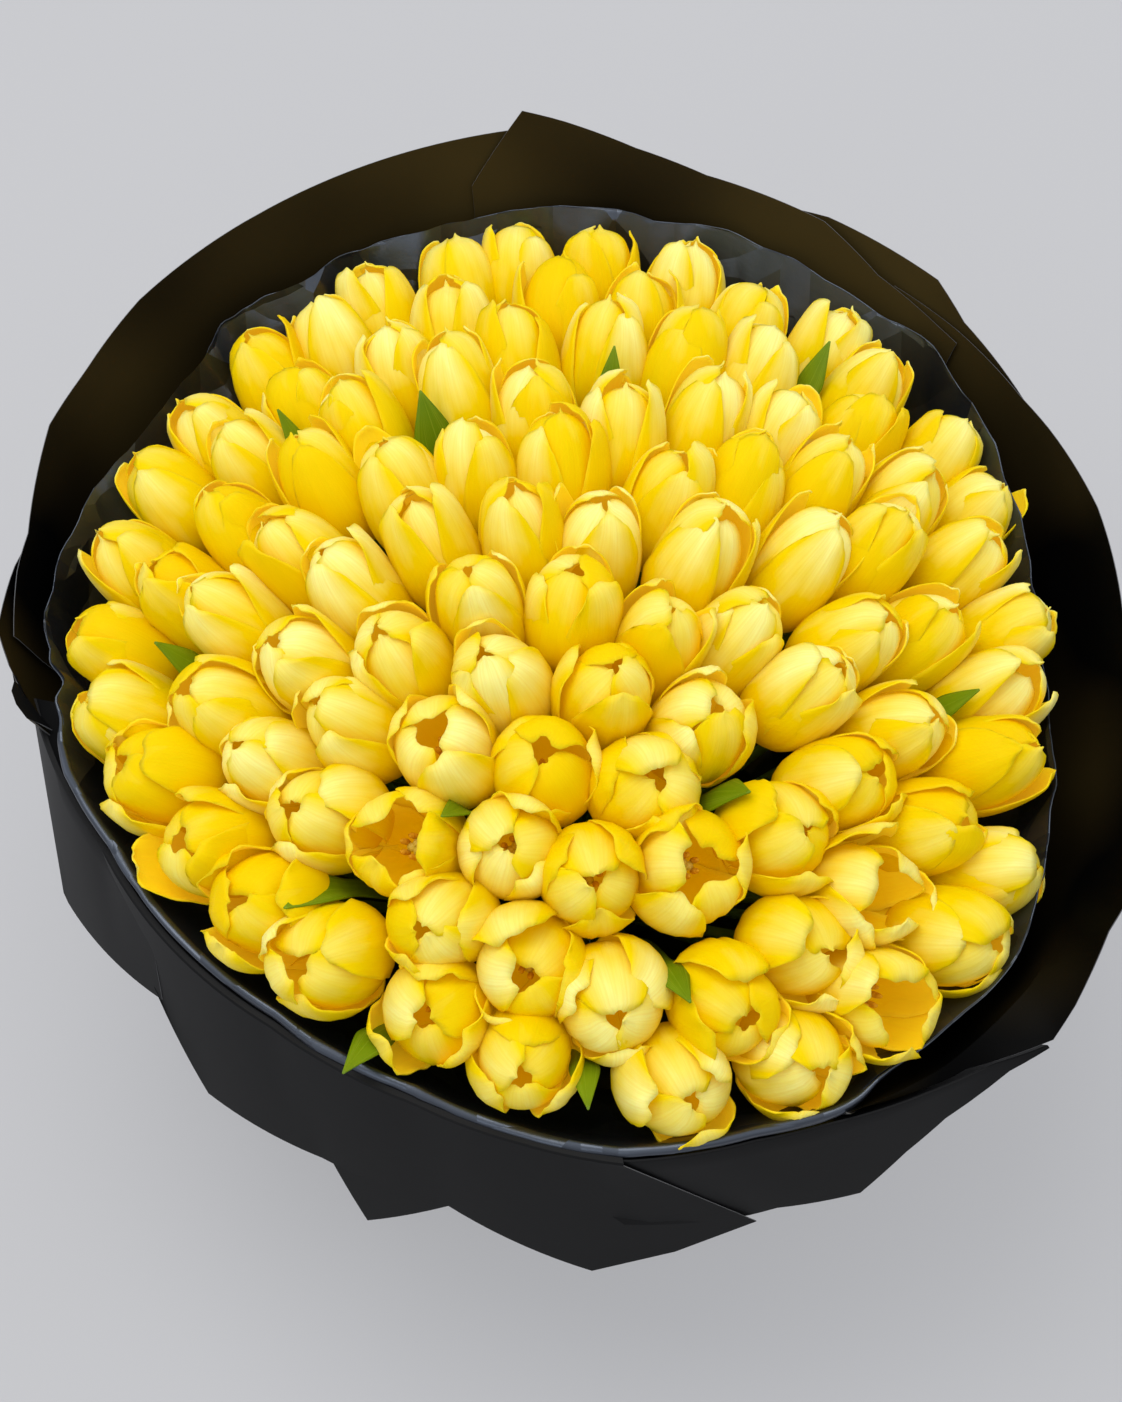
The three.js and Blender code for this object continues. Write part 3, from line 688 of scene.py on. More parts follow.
@dataclass(frozen=True)
class PlantFinish:
    """Stems and leaves: green with paler lines along them."""

    name: str
    dark: Colour
    light: Colour
    line: Colour
    roughness: float = 0.42
    lines: float = 26

    def make(self) -> bpy.types.Material:
        """Builds the material."""
        s = Shader(self.name, Roughness=self.roughness, Specular_IOR_Level=0.25)
        s.skin(Subsurface_Weight=0.12, Subsurface_Scale=0.003, Subsurface_Radius=(0.4, 1.0, 0.2))
        colour = s.blend(s.spread(s.noise(s.place(18), 3), 0.3, 0.7), self.dark, self.light)
        veins = s.noise(s.uv(self.lines, 0.8), 2, 0.6)
        s.skin(Base_Color=s.blend(s.spread(veins, 0.5, 0.72, 0, 0.55), colour, self.line))
        s.bump(veins, 0.4, 0.0005)
        return s.material


@dataclass(frozen=True)
class FilmFinish:
    """The lining's black film: satin, with a cool sheen on its crinkles."""

    name: str = "crinkled_film"

    def make(self) -> bpy.types.Material:
        """Builds the material."""
        s = Shader(self.name, Specular_IOR_Level=1.0, IOR=1.6, Specular_Tint=(0.72, 0.82, 1.0, 1.0))
        cloud = s.noise(s.place(9), 3)
        s.skin(Base_Color=s.blend(cloud, shade(12, 13, 16), shade(26, 29, 37)))
        s.skin(Roughness=s.spread(cloud, 0.3, 0.7, 0.3, 0.42))
        creases = s.node("TexVoronoi", {"distance": "MANHATTAN"}, Vector=s.place(14), Scale=1.0).outputs[0]
        s.bump(creases, 0.7, 0.02)
        s.bump(s.noise(s.place(55), 4, 0.6), 0.25, 0.0015)
        s.bump(s.noise(s.place(420)), 0.1, 0.0003)
        return s.material


@dataclass(frozen=True)
class SheetFinish:
    """The stiff outer sheets: matte black with a fine grain. On the inside finish the darker base is painted
    shade and the brown patches a painted reflection of the flowers.
    """

    name: str = "sheet_outside"
    dark: Colour = shade(13, 13, 14)
    light: Colour = shade(19, 19, 20)
    roughness: float = 0.5
    patches: float = 6
    gloss: float = 0.14

    def make(self) -> bpy.types.Material:
        """Builds the material."""
        s = Shader(self.name, Specular_IOR_Level=self.gloss)
        cloud = s.noise(s.place(self.patches))
        # on the inside finish, the light patches are a painted reflection of the yellow flowers
        s.skin(Base_Color=s.blend(s.spread(cloud, 0.38, 0.66), self.dark, self.light))
        s.skin(Roughness=s.spread(cloud, 0.3, 0.7, self.roughness - 0.05, self.roughness + 0.06))
        s.bump(s.noise(s.place(900)), 0.12, 0.0003)
        s.bump(s.noise(s.place(14), 3), 0.1, 0.004)
        return s.material


@dataclass(frozen=True)
class PlainFinish:
    """A small part's finish: one colour, clouded, with a soft grain."""

    name: str
    dark: Colour
    light: Colour
    roughness: float
    grain: float = 700

    def make(self) -> bpy.types.Material:
        """Builds the material."""
        s = Shader(self.name, Roughness=self.roughness)
        cloud = s.noise(s.place(self.grain / 6), 3)
        s.skin(Base_Color=s.blend(s.spread(cloud, 0.35, 0.65), self.dark, self.light))
        s.bump(s.noise(s.place(self.grain)), 0.3, 0.0004)
        return s.material


@dataclass(frozen=True)
class RibbonFinish:
    """Woven satin ribbon: fine threads along it."""

    name: str = "ribbon_satin"

    def make(self) -> bpy.types.Material:
        """Builds the material."""
        s = Shader(self.name, Roughness=0.42, Sheen_Weight=0.5, Specular_IOR_Level=0.5)
        threads = s.noise(s.uv(3, 90))
        s.skin(Base_Color=s.blend(threads, shade(15, 15, 18), shade(34, 34, 39)))
        s.bump(threads, 0.5, 0.0003)
        return s.material


MADE: dict[str, bpy.types.Material] = {}  # the materials so far, by the name of their look


class Look(Enum):
    """Every finish of the bunch, by the place that it is on."""

    PETAL = PetalFinish("petal_outside", shade(198, 190, 0), shade(239, 209, 0), shade(251, 242, 146),
                        shade(246, 224, 50), shade(236, 190, 0))
    # the inside of the cup glows more strongly: painted light that brightens the shade in the open heads
    CUP = PetalFinish("petal_inside", shade(226, 192, 10), shade(248, 218, 12), shade(250, 226, 50),
                      shade(250, 228, 84), shade(242, 200, 0), 0.5,
                      (1.0, 0.7, 0.03, 1.0), (0.62, 0.42, 0.0, 1.0), 0.18)
    STEM = PlantFinish("stem_skin", shade(92, 128, 48), shade(132, 166, 78), shade(158, 186, 104), 0.45, 14)
    LEAF = PlantFinish("leaf_skin", shade(86, 118, 0), shade(122, 146, 6), shade(150, 170, 48))
    FILM = FilmFinish()
    SHEET = SheetFinish()
    # inside of the standing sheets: darker than the outside as painted shade, with brown-olive patches as a
    # painted reflection of the flowers
    INSIDE = SheetFinish("sheet_inside_painted_shade_and_reflection", shade(3, 3, 3), shade(56, 46, 22), 0.46, 4, 0.03)
    CUT = SheetFinish("sheet_cut_edge", shade(84, 84, 86), shade(118, 118, 120), 0.6)
    RIBBON = RibbonFinish()
    ANTHER = PlainFinish("anther", shade(214, 158, 16), shade(242, 198, 50), 0.85, 2200)
    PISTIL = PlainFinish("pistil", shade(222, 206, 70), shade(240, 224, 116), 0.5, 900)

    def material(self) -> bpy.types.Material:
        """The finish's material, made when it is first asked for."""
        if self.name not in MADE:
            MADE[self.name] = self.value.make()
        return MADE[self.name]


# ---- shaping meshes ----
def alone(obj: Object) -> None:
    """Makes an object the only one that is selected, and active."""
    bpy.ops.object.select_all(action="DESELECT")
    obj.select_set(True)
    bpy.context.view_layer.objects.active = obj


def grid_sheet(name: str, columns: int, rows: int) -> Object:
    """Adds a flat grid, 2 by 2, with surface coordinates.

    Args:
        name: its name.
        columns: its faces across.
        rows: its faces up.

    Returns:
        The grid's object.
    """
    bpy.ops.object.select_all(action="DESELECT")
    bpy.ops.mesh.primitive_grid_add(x_subdivisions=columns, y_subdivisions=rows, size=2, calc_uvs=True)
    obj = bpy.context.object
    obj.name = obj.data.name = name
    obj.data.uv_layers[0].name = "surface"
    return obj


def shape_grid(obj: Object, rule: Callable[[float, float], Vector]) -> None:
    """Moves each point of a grid to where a rule puts it.

    Args:
        obj: the grid.
        rule: gives a point in mm for (across, up), each 0 to 1.
    """
    for vertex in obj.data.vertices:
        vertex.co = rule(vertex.co.x / 2 + 0.5, vertex.co.y / 2 + 0.5) * MM
    obj.data.update()


def apply_modifier(obj: Object, kind: str, **facts: float | bool | str | int) -> None:
    """Adds a modifier and applies it.

    Args:
        obj: the object.
        kind: the modifier's type.
        facts: its settings.
    """
    alone(obj)
    made = obj.modifiers.new(kind.lower(), kind)
    for key, value in facts.items():
        setattr(made, key, value)
    bpy.ops.object.modifier_apply(modifier=made.name)


def close_round(obj: Object) -> None:
    """Joins the two ends of a grid that is bent into a ring."""
    apply_modifier(obj, "WELD", merge_threshold=0.00002)


def sharpen(obj: Object, degrees: float) -> None:
    """Leaves the creases that are steeper than an angle sharp."""
    alone(obj)
    bpy.ops.object.shade_smooth_by_angle(angle=math.radians(degrees))


def settle(obj: Object, node: str, looks: Sequence[Look]) -> None:
    """Dresses a finished piece, puts it on the body and hides the node that it stands for.

    Args:
        obj: the piece.
        node: the node.
        looks: its finishes, in the order of its faces' numbers.
    """
    for k, look in enumerate(looks):
        if k < len(obj.data.materials):
            obj.data.materials[k] = look.material()
        else:
            obj.data.materials.append(look.material())
    alone(obj)
    bpy.ops.object.shade_smooth()
    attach(obj, "root")
    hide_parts(node)
    LOG.info("%s: %d faces", obj.name, len(obj.data.polygons))


# ---- the flowers ----
@dataclass
class Petal:
    """One petal's own form on its head."""

    way: float  # direction round the head, degrees
    inner: bool
    length: float
    reach: float
    flare: float
    skew: float
    tuck: float
    curl: float
    gape: float
    crease: float
    point: float
    tone: float
    waves: tuple[float, ...]
    swell: float


@dataclass
class TulipHead:
    """A head of six petals in two layers."""

    spot: Spot
    draw: Draws
    layout: Layout
    columns: int = 14
    rows: int = 20
    fuller: float = 1.4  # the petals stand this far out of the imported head, mm
    longer: tuple[float, float] = (1.13, 1.04)  # than packed, in the middle and at the rim
    split: float = 0.45  # share of a petal's length where it stops widening
    blunt: float = 0.97  # how round its end is
    heights: Row = (0, 0.03, 0.08, 0.16, 0.26, 0.38, 0.48, 0.60, 0.71, 0.81, 0.90, 0.96, 1.0)
    closed: Row = (0.10, 0.34, 0.56, 0.77, 0.91, 0.985, 1.0, 0.985, 0.95, 0.90, 0.82, 0.73, 0.58)
    opened: Row = (0.12, 0.40, 0.66, 0.88, 1.02, 1.10, 1.14, 1.17, 1.18, 1.15, 1.08, 0.99, 0.87)
    inner_closed: Row = (0.10, 0.32, 0.53, 0.73, 0.87, 0.94, 0.95, 0.93, 0.88, 0.80, 0.65, 0.44, 0.08)
    inner_opened: Row = (0.10, 0.34, 0.58, 0.80, 0.94, 1.01, 1.03, 1.02, 0.97, 0.87, 0.68, 0.48, 0.22)

    @property
    def belly(self) -> float:
        """Radius of the head at its widest, in mm."""
        return self.spot.room + self.fuller

    @property
    def long(self) -> float:
        """How much longer than packed the head is."""
        x, y = self.spot.x, self.spot.y - self.layout.wrap.dome_back
        edge = smooth((math.hypot(x, y) - 150) / 90) * clamp(0.7 + y / 150)
        return mix(*self.longer, edge)

    def petals(self) -> list[Petal]:
        """The six petals, each a little different."""
        draw, head_tone, opened = self.draw, self.draw.one(), self.spot.open
        gape = draw.between(0.15, 0.45) if opened > 0.45 and draw.one() < 0.3 else 0.0
        made = []
        for k in range(6):
            inner = k % 2 == 1
            fate = draw.one()
            flare = draw.between(-1.0, 1.2) - (0 if inner else 3 * opened * draw.one())
            if not inner and fate < 0.34:
                flare = draw.between(2.0, 4.5) if fate > 0.08 else draw.between(5, 11)
            made.append(
                Petal(
                    way=k * 60 + draw.between(-7, 7),
                    inner=inner,
                    length=draw.between(0.93, 1.05) if inner else draw.between(0.90, 1.03),
                    reach=draw.between(0.96, 1.08) if inner else draw.between(0.84, 1.02),
                    flare=flare,
                    skew=draw.between(0.008, 0.03) * (-1 if inner else 1),
                    tuck=draw.between(0.05, 0.09),
                    curl=draw.between(-0.5, 0.1) if inner else draw.between(-0.22, 0.06),
                    gape=gape * (draw.between(0.7, 1.15) if inner else 0.3),
                    crease=draw.between(0.3, 1.4) if draw.one() < 0.6 else 0,
                    point=draw.between(-0.02, 0.055),
                    tone=clamp(head_tone * 0.5 + draw.one() * 0.5),
                    waves=tuple(draw.between(0, 6.28) for _ in range(4)),
                    swell=self.room_for(self.spot.phase + k * 60),
                )
            )
        return made

    def room_for(self, way: float) -> float:
        """How much wider than packed a petal may stand before it meets a neighbour's.

        Args:
            way: the petal's direction round the head, in degrees.

        Returns:
            The factor on its radius.
        """
        spot, layout = self.spot, self.layout
        x, y = turned(1, way)
        out = spot.across * x + spot.up * y
        side = Vector((spot.x, spot.y - layout.wrap.dome_back, 0)) / layout.reach
        least = 1.16 + 0.06 * spot.open - 0.2 * clamp(out.dot(side)) * clamp(0.6 + side.y * 2)
        for other in layout.heads:
            gap = other.centre - spot.centre
            if other is spot or gap.length > 80:
                continue
            flat = gap - spot.axis * gap.dot(spot.axis)
            facing = flat.dot(out) / max(flat.length, 1e-6)
            if facing > 0.5:
                least = min(least, gap.length / 2 / facing / self.belly / 1.02)
        return clamp(least, 0.98, 1.22)

    def profile(self, petal: Petal) -> tuple[np.ndarray, np.ndarray, np.ndarray]:
        """The line up the middle of a petal.

        Args:
            petal: the petal.

        Returns:
            Length along the petal, 0 to 1, and height and radius in mm, at each step.
        """
        share = self.spot.open**1.15
        high = np.linspace(0, 1, 60) ** 1.5
        closed = np.interp(high, self.heights, self.inner_closed if petal.inner else self.closed)
        opened = np.interp(high, self.heights, self.inner_opened if petal.inner else self.opened)
        radius = (closed + (opened - closed) * share) * self.belly
        bulge = np.sin(np.pi * np.clip(high * 0.85 + 0.1, 0, 1))
        radius *= 1 + (petal.swell - 1) * (0.6 if petal.inner else 1) * bulge
        radius *= 1 + petal.curl * high**5
        radius += petal.flare * high**3 + petal.gape * self.belly * high**4
        dip = mix(0.02, 0.1, share) * np.clip((high - 0.86) / 0.14, 0, 1) ** 2
        high = (high - dip) * self.spot.length * self.long * petal.length
        run = np.concatenate(([0], np.cumsum(np.hypot(np.diff(high), np.diff(radius)))))
        return run / run[-1], high, radius

    def petal_points(self, petal: Petal, grid: np.ndarray) -> np.ndarray:
        """Where the points of a grid lie on a petal.

        Args:
            petal: the petal.
            grid: rows of (across, along), -1 to 1 and 0 to 1.

        Returns:
            Their places, in mm.
        """
        x, y = grid[:, 0], grid[:, 1]
        opened, split, blunt = self.spot.open, self.split, self.blunt
        top = np.clip((y - split) / (1 - split), 0, 1)
        wide = x * ((1 - blunt) + blunt * np.sqrt(1 - top**2 / 2))
        rise = top * ((1 - blunt) + blunt * np.sqrt(1 - x**2 / 2))
        foot = 0.42 + 0.58 * np.sin(np.clip(y / split, 0, 1) * np.pi / 2)
        narrow = mix(0.3, 0.1, opened) if petal.inner else mix(0.46, 0.08, opened)
        wide = np.where(y < split, x * foot, wide * (1 - narrow * rise**2))
        a, b, c, d = petal.waves
        jag = np.sin(x * 5 + a) * 0.7 + np.sin(x * 11 + b) * 0.4 + np.sin(x * 23 + c) * 0.12
        run = np.where(y < split, y, split + (1 - split) * rise)
        run = run + top**4 * (0.010 * jag + petal.point * np.exp(-((x / 0.28) ** 2)))
        runs, highs, radii = self.profile(petal)
        high = np.interp(run, runs, highs) + np.clip(run - 1, 0, 1) * self.spot.length * 0.8
        radius = np.interp(run, runs, radii)
        half = math.radians(64 if petal.inner else 66) * petal.reach * self.belly
        turn = np.clip(wide * half / np.maximum(radius, self.belly * 0.33), -1.5, 1.5)
        lift = 1 - petal.tuck * wide**2 + petal.skew * wide
        ribs = 0.16 * np.sin(wide * 21 + d) * np.sin(np.pi * y)
        fold = petal.crease * (0.5 * np.exp(-((wide / 0.2) ** 2)) - np.exp(-((wide / 0.07) ** 2)))
        loose = 0.5 + 1.5 * opened
        edge = loose * np.sin(y * 9 + a) * wide**4 * np.sin(y * 14 + b)
        lip = loose * (0.8 * np.sin(x * 4.2 + c) + 0.5 * np.sin(x * 8.5 + d)) * top**3
        lip = lip * (mix(0.2, 1, opened) if petal.inner else 1)
        fold = fold * np.sin(np.pi * np.clip(y, 0, 1))
        radius = np.maximum(radius * lift + ribs + fold + edge + lip, 0.8)
        way = np.radians(self.spot.phase + petal.way) + turn
        frame = np.array([self.spot.across, self.spot.up, self.spot.axis])
        local = np.stack([radius * np.cos(way), radius * np.sin(way), high], axis=1)
        return local @ frame + np.array(self.spot.base)


@dataclass
class Flowers:
    """The sprays of heads, with stamens and a pistil in each open one."""

    layout: Layout
    petal_thick: float = 0.75
    anther_long: float = 13
    anther_wide: float = 1.8
    pistil_long: float = 22
    pistil_wide: float = 2.6
    looks: tuple[Look, ...] = (Look.PETAL, Look.CUP, Look.ANTHER, Look.PISTIL)

    def build(self) -> None:
        """Builds a piece for each spray."""
        sheet = grid_sheet("petal_pattern", TulipHead.columns, TulipHead.rows)
        flat = np.array([vertex.co[:2] for vertex in sheet.data.vertices])
        grid = np.stack([flat[:, 0], flat[:, 1] / 2 + 0.5], axis=1)
        faces = np.array([tuple(p.vertices) for p in sheet.data.polygons])
        bpy.data.objects.remove(sheet)
        for k, spray in enumerate(self.layout.sprays):
            self.spray(f"heads_{k + 1:02d}", spray, grid, faces)

    def spray(self, name: str, members: list[int], grid: np.ndarray, faces: np.ndarray) -> None:
        """Builds one spray: its petals with their thickness, then the hearts of its open heads.

        Args:
            name: the spray's node.
            members: its heads.
            grid: the points of a flat petal.
            faces: the faces between them.
        """
        points, tones, hearts = [], [], []
        for i in members:
            head = TulipHead(self.layout.heads[i], Draws(7001 + 31 * i), self.layout)
            for petal in head.petals():
                points.append(head.petal_points(petal, grid))
                tones.append(petal.tone)
        mesh = bpy.data.meshes.new(name)
        all_faces = np.concatenate([faces + k * len(grid) for k in range(len(points))])
        mesh.from_pydata((np.concatenate(points) * MM).tolist(), [], all_faces.tolist())
        coords = np.tile(np.stack([grid[:, 0] / 2 + 0.5, grid[:, 1]], axis=1), (len(points), 1))
        mesh.uv_layers.new(name="surface").data.foreach_set("uv", coords[all_faces.ravel()].ravel())
        tone = mesh.attributes.new("tone", "FLOAT", "POINT")
        tone.data.foreach_set("value", np.repeat(tones, len(grid)))
        obj = bpy.data.objects.new(name, mesh)
        bpy.context.scene.collection.objects.link(obj)
        for look in self.looks:
            mesh.materials.append(look.material())
        thick = self.petal_thick * MM
        apply_modifier(
            obj, "SOLIDIFY", thickness=thick, offset=-1, material_offset=1, material_offset_rim=0
        )
        for i in members:
            if self.layout.heads[i].open > 0.2:
                hearts += self.heart(self.layout.heads[i])
        if hearts:
            alone(obj)
            for part in hearts:
                part.select_set(True)
            bpy.ops.object.join()
        obj.name = name + "_petals"
        settle(obj, name, self.looks)

    def heart(self, spot: Spot) -> list[Object]:
        """The stamens and pistil of an open head.

        Args:
            spot: the head.

        Returns:
            Their objects.
        """
        parts = []
        frame, start = np.array([spot.across, spot.up, spot.axis]), np.array(spot.base)
        low, high = spot.length * 0.36, spot.length * 0.55
        thin, wide = self.anther_wide, self.pistil_wide
        anther, rod = (thin, thin, self.anther_long / 2), (wide, wide, self.pistil_long / 2)
        for count, radius, turn, up, size, look in (
            (6, 5.6, 30, high, anther, Look.ANTHER),
            (1, 0, 0, low, rod, Look.PISTIL),
            (3, 2.4, 0, low + self.pistil_long / 2, (wide, wide, 2.0), Look.PISTIL),
        ):
            for k in range(count):
                if count == 1:
                    bpy.ops.mesh.primitive_cylinder_add(vertices=9, radius=1, depth=2)
                else:
                    bpy.ops.mesh.primitive_uv_sphere_add(segments=8, ring_count=6, radius=1)
                part = bpy.context.object
                at = np.array((*turned(radius, k * 360 / count + spot.phase + turn), up))
                for vertex in part.data.vertices:
                    vertex.co = Vector((at + np.array(vertex.co) * size) @ frame + start) * MM
                part.data.materials.append(look.material())
                parts.append(part)
        return parts


@dataclass
class Stems:
    """All stems, each a smooth round stalk that widens under its head."""

    layout: Layout
    radius: float = 3.1
    widening: tuple[float, float, float] = (1.04, 1.16, 1.4)  # under the head
    soften: float = 34  # how far from each corner a stem bends, mm
    nod: float = 50  # and how far below its head, mm
    foot: float = 4  # below this the cut ends are made level, mm

    def path(self, spot: Spot) -> list[tuple[Vector, float]]:
        """The line of a stem.

        Args:
            spot: its head.

        Returns:
            Points from the ground up, with the radius at each, in mm.
        """
        corners = self.layout.stem_path(spot)
        points: list[Vector] = [corners[0]]
        for before, at, after in zip(corners, corners[1:], corners[2:]):
            reach = min(self.soften, (before - at).length / 2.1, (after - at).length / 2.1)
            low = at + (before - at).normalized() * reach
            high = at + (after - at).normalized() * reach
            points += [bend(low, at, high, k / 5) for k in range(6)]
        end = corners[-1]
        low, at = points[-1], end - spot.axis * min(self.nod, (end - corners[-2]).length * 0.4)
        points += [bend(low, at, end + spot.axis * 2, k / 7) for k in range(1, 8)]
        wider = [1.0] * (len(points) - len(self.widening)) + list(self.widening)
        return [(point, self.radius * more) for point, more in zip(points, wider)]

    def build(self) -> None:
        """Builds the stems as round curves, made one mesh."""
        curve = bpy.data.curves.new("stems_smooth", "CURVE")
        curve.dimensions = "3D"
        curve.bevel_depth = MM
        curve.bevel_resolution = 2
        curve.use_fill_caps = True
        for spot in self.layout.heads:
            path = self.path(spot)
            line = curve.splines.new("POLY")
            line.points.add(len(path) - 1)
            for point, (at, radius) in zip(line.points, path):
                point.co = (*(at * MM), 1)
                point.radius = radius
        obj = bpy.data.objects.new("stems_smooth", curve)
        bpy.context.scene.collection.objects.link(obj)
        alone(obj)
        bpy.ops.object.convert(target="MESH")
        obj = bpy.context.object
        for vertex in obj.data.vertices:
            if vertex.co.z < self.foot * MM:
                vertex.co.z = 0
        layers = obj.data.uv_layers
        (layers[0] if layers else layers.new()).name = "surface"
        settle(obj, "stems", (Look.STEM,))


@dataclass
class Leaves:
    """The leaves whose tips come up between the heads."""

    layout: Layout
    thick: float = 0.9
    nod: float = 14  # how far the tips at the front bend out, mm
    room: float = 6.5  # a gap with this room has a leaf of the plain width, mm
    tight: float = 0.35  # how closely the blade's line turns at its rows
    keel: float = 0.25  # how far the blade's sides stand back, as a share of its half width
    beside: float = 3.5  # the foot lies this far from the middle of its stem, mm
    on_stem: Table = ((0.42, 3.5), (0.52, 4.5))  # share of the stem's length, and half width, mm
    below: Table = ((0.72, 9.0), (0.92, 9.5))  # share of the way from the tie to the heads, and half width
    among: Table = ((-15, 6.2), (10, 8.6))  # height over the heads' middles, and half width
    columns: int = 8
    rows: int = 40

    def rows_of(self, spot: Spot) -> list[tuple[Vector, Vector, Vector, float]]:
        """The rows of a leaf from its foot to its tip.

        Args:
            spot: the gap that it comes up through.

        Returns:
            The middle, the way across, the way back and the half width of each.
        """
        layout = self.layout
        axis = layout.lean_axis(spot.x, spot.y)
        heart = layout.settled(Vector((spot.x, spot.y, layout.height(spot.x, spot.y))))
        base = heart - axis * (layout.head_centre * layout.head_length)
        low = layout.stem_spot(spot, layout.tie_radius, 1, layout.wrap.tie_top)
        host = min(layout.heads, key=lambda head: layout.spacing(spot, head))
        start, end = layout.stem_path(host)[2:]
        run = (end - start).normalized()
        side = run.cross(host.across).normalized()
        to_gap = low.lerp(base, 0.6) - start.lerp(end, 0.6)
        out = max((host.across, -host.across, side, -side), key=lambda way: way.dot(to_gap))
        foot_across = -out.cross(run).normalized()
        across = Vector((-axis.y, axis.x, 0)).normalized()
        if across.dot(foot_across) < 0:
            across.negate()
        made = []
        for t, wide in self.on_stem:
            made.append((start.lerp(end, t) + out * self.beside, foot_across, run, wide, 0.0))
        for t, wide in self.below:
            made.append((low.lerp(base, t), across, axis, wide, self.keel))
        for high, wide in self.among:
            made.append((heart + axis * high, across, axis, wide * (spot.room / self.room), self.keel))
        bent = clamp(-spot.y / 120)
        tip = Vector((spot.x, spot.y - layout.wrap.dome_back, 0)).normalized() * (self.nod * bent)
        made.append((heart + axis * (30 + spot.room - 4 * bent) + tip, across, axis, 0.5, 0.0))
        return [(m, a, a.cross(u).normalized() * k, w) for m, a, u, w, k in made]

    def build(self) -> None:
        """Builds each leaf as a keeled blade."""
        for k, spot in enumerate(self.layout.leaves):
            name = f"leaf_{k + 1:02d}"
            rows = self.rows_of(spot)
            obj = grid_sheet(name + "_blade", self.columns, self.rows)

            def rule(across: float, up: float) -> Vector:
                """Where a point of the blade lies."""
                place = up * (len(rows) - 1)
                i = min(int(place), len(rows) - 2)
                near = [rows[max(0, min(len(rows) - 1, i + step))] for step in (-1, 0, 1, 2)]
                middle, side, back, wide = (self.through(values, place - i) for values in zip(*near))
                x = across * 2 - 1
                wave = 0.5 * math.sin(up * 17 + k) * abs(x) ** 3 * clamp(up * 3)
                return middle + side * (x * max(wide, 0.3)) + back * (abs(x) ** 1.5 * wide + wave)

            shape_grid(obj, rule)
            apply_modifier(obj, "SOLIDIFY", thickness=self.thick * MM, offset=0)
            settle(obj, name, (Look.LEAF,))

    def through(self, near: Sequence[Any], t: float) -> Any:
        """A value on the smooth line through four.

        Args:
            near: the four values.
            t: the share of the way from the second to the third.

        Returns:
            The value.
        """
        a, b, c, d = near
        m0, m1 = (c - a) * self.tight, (d - b) * self.tight
        t2, t3 = t * t, t * t * t
        return b * (2 * t3 - 3 * t2 + 1) + m0 * (t3 - 2 * t2 + t) + c * (3 * t2 - 2 * t3) + m1 * (t3 - t2)


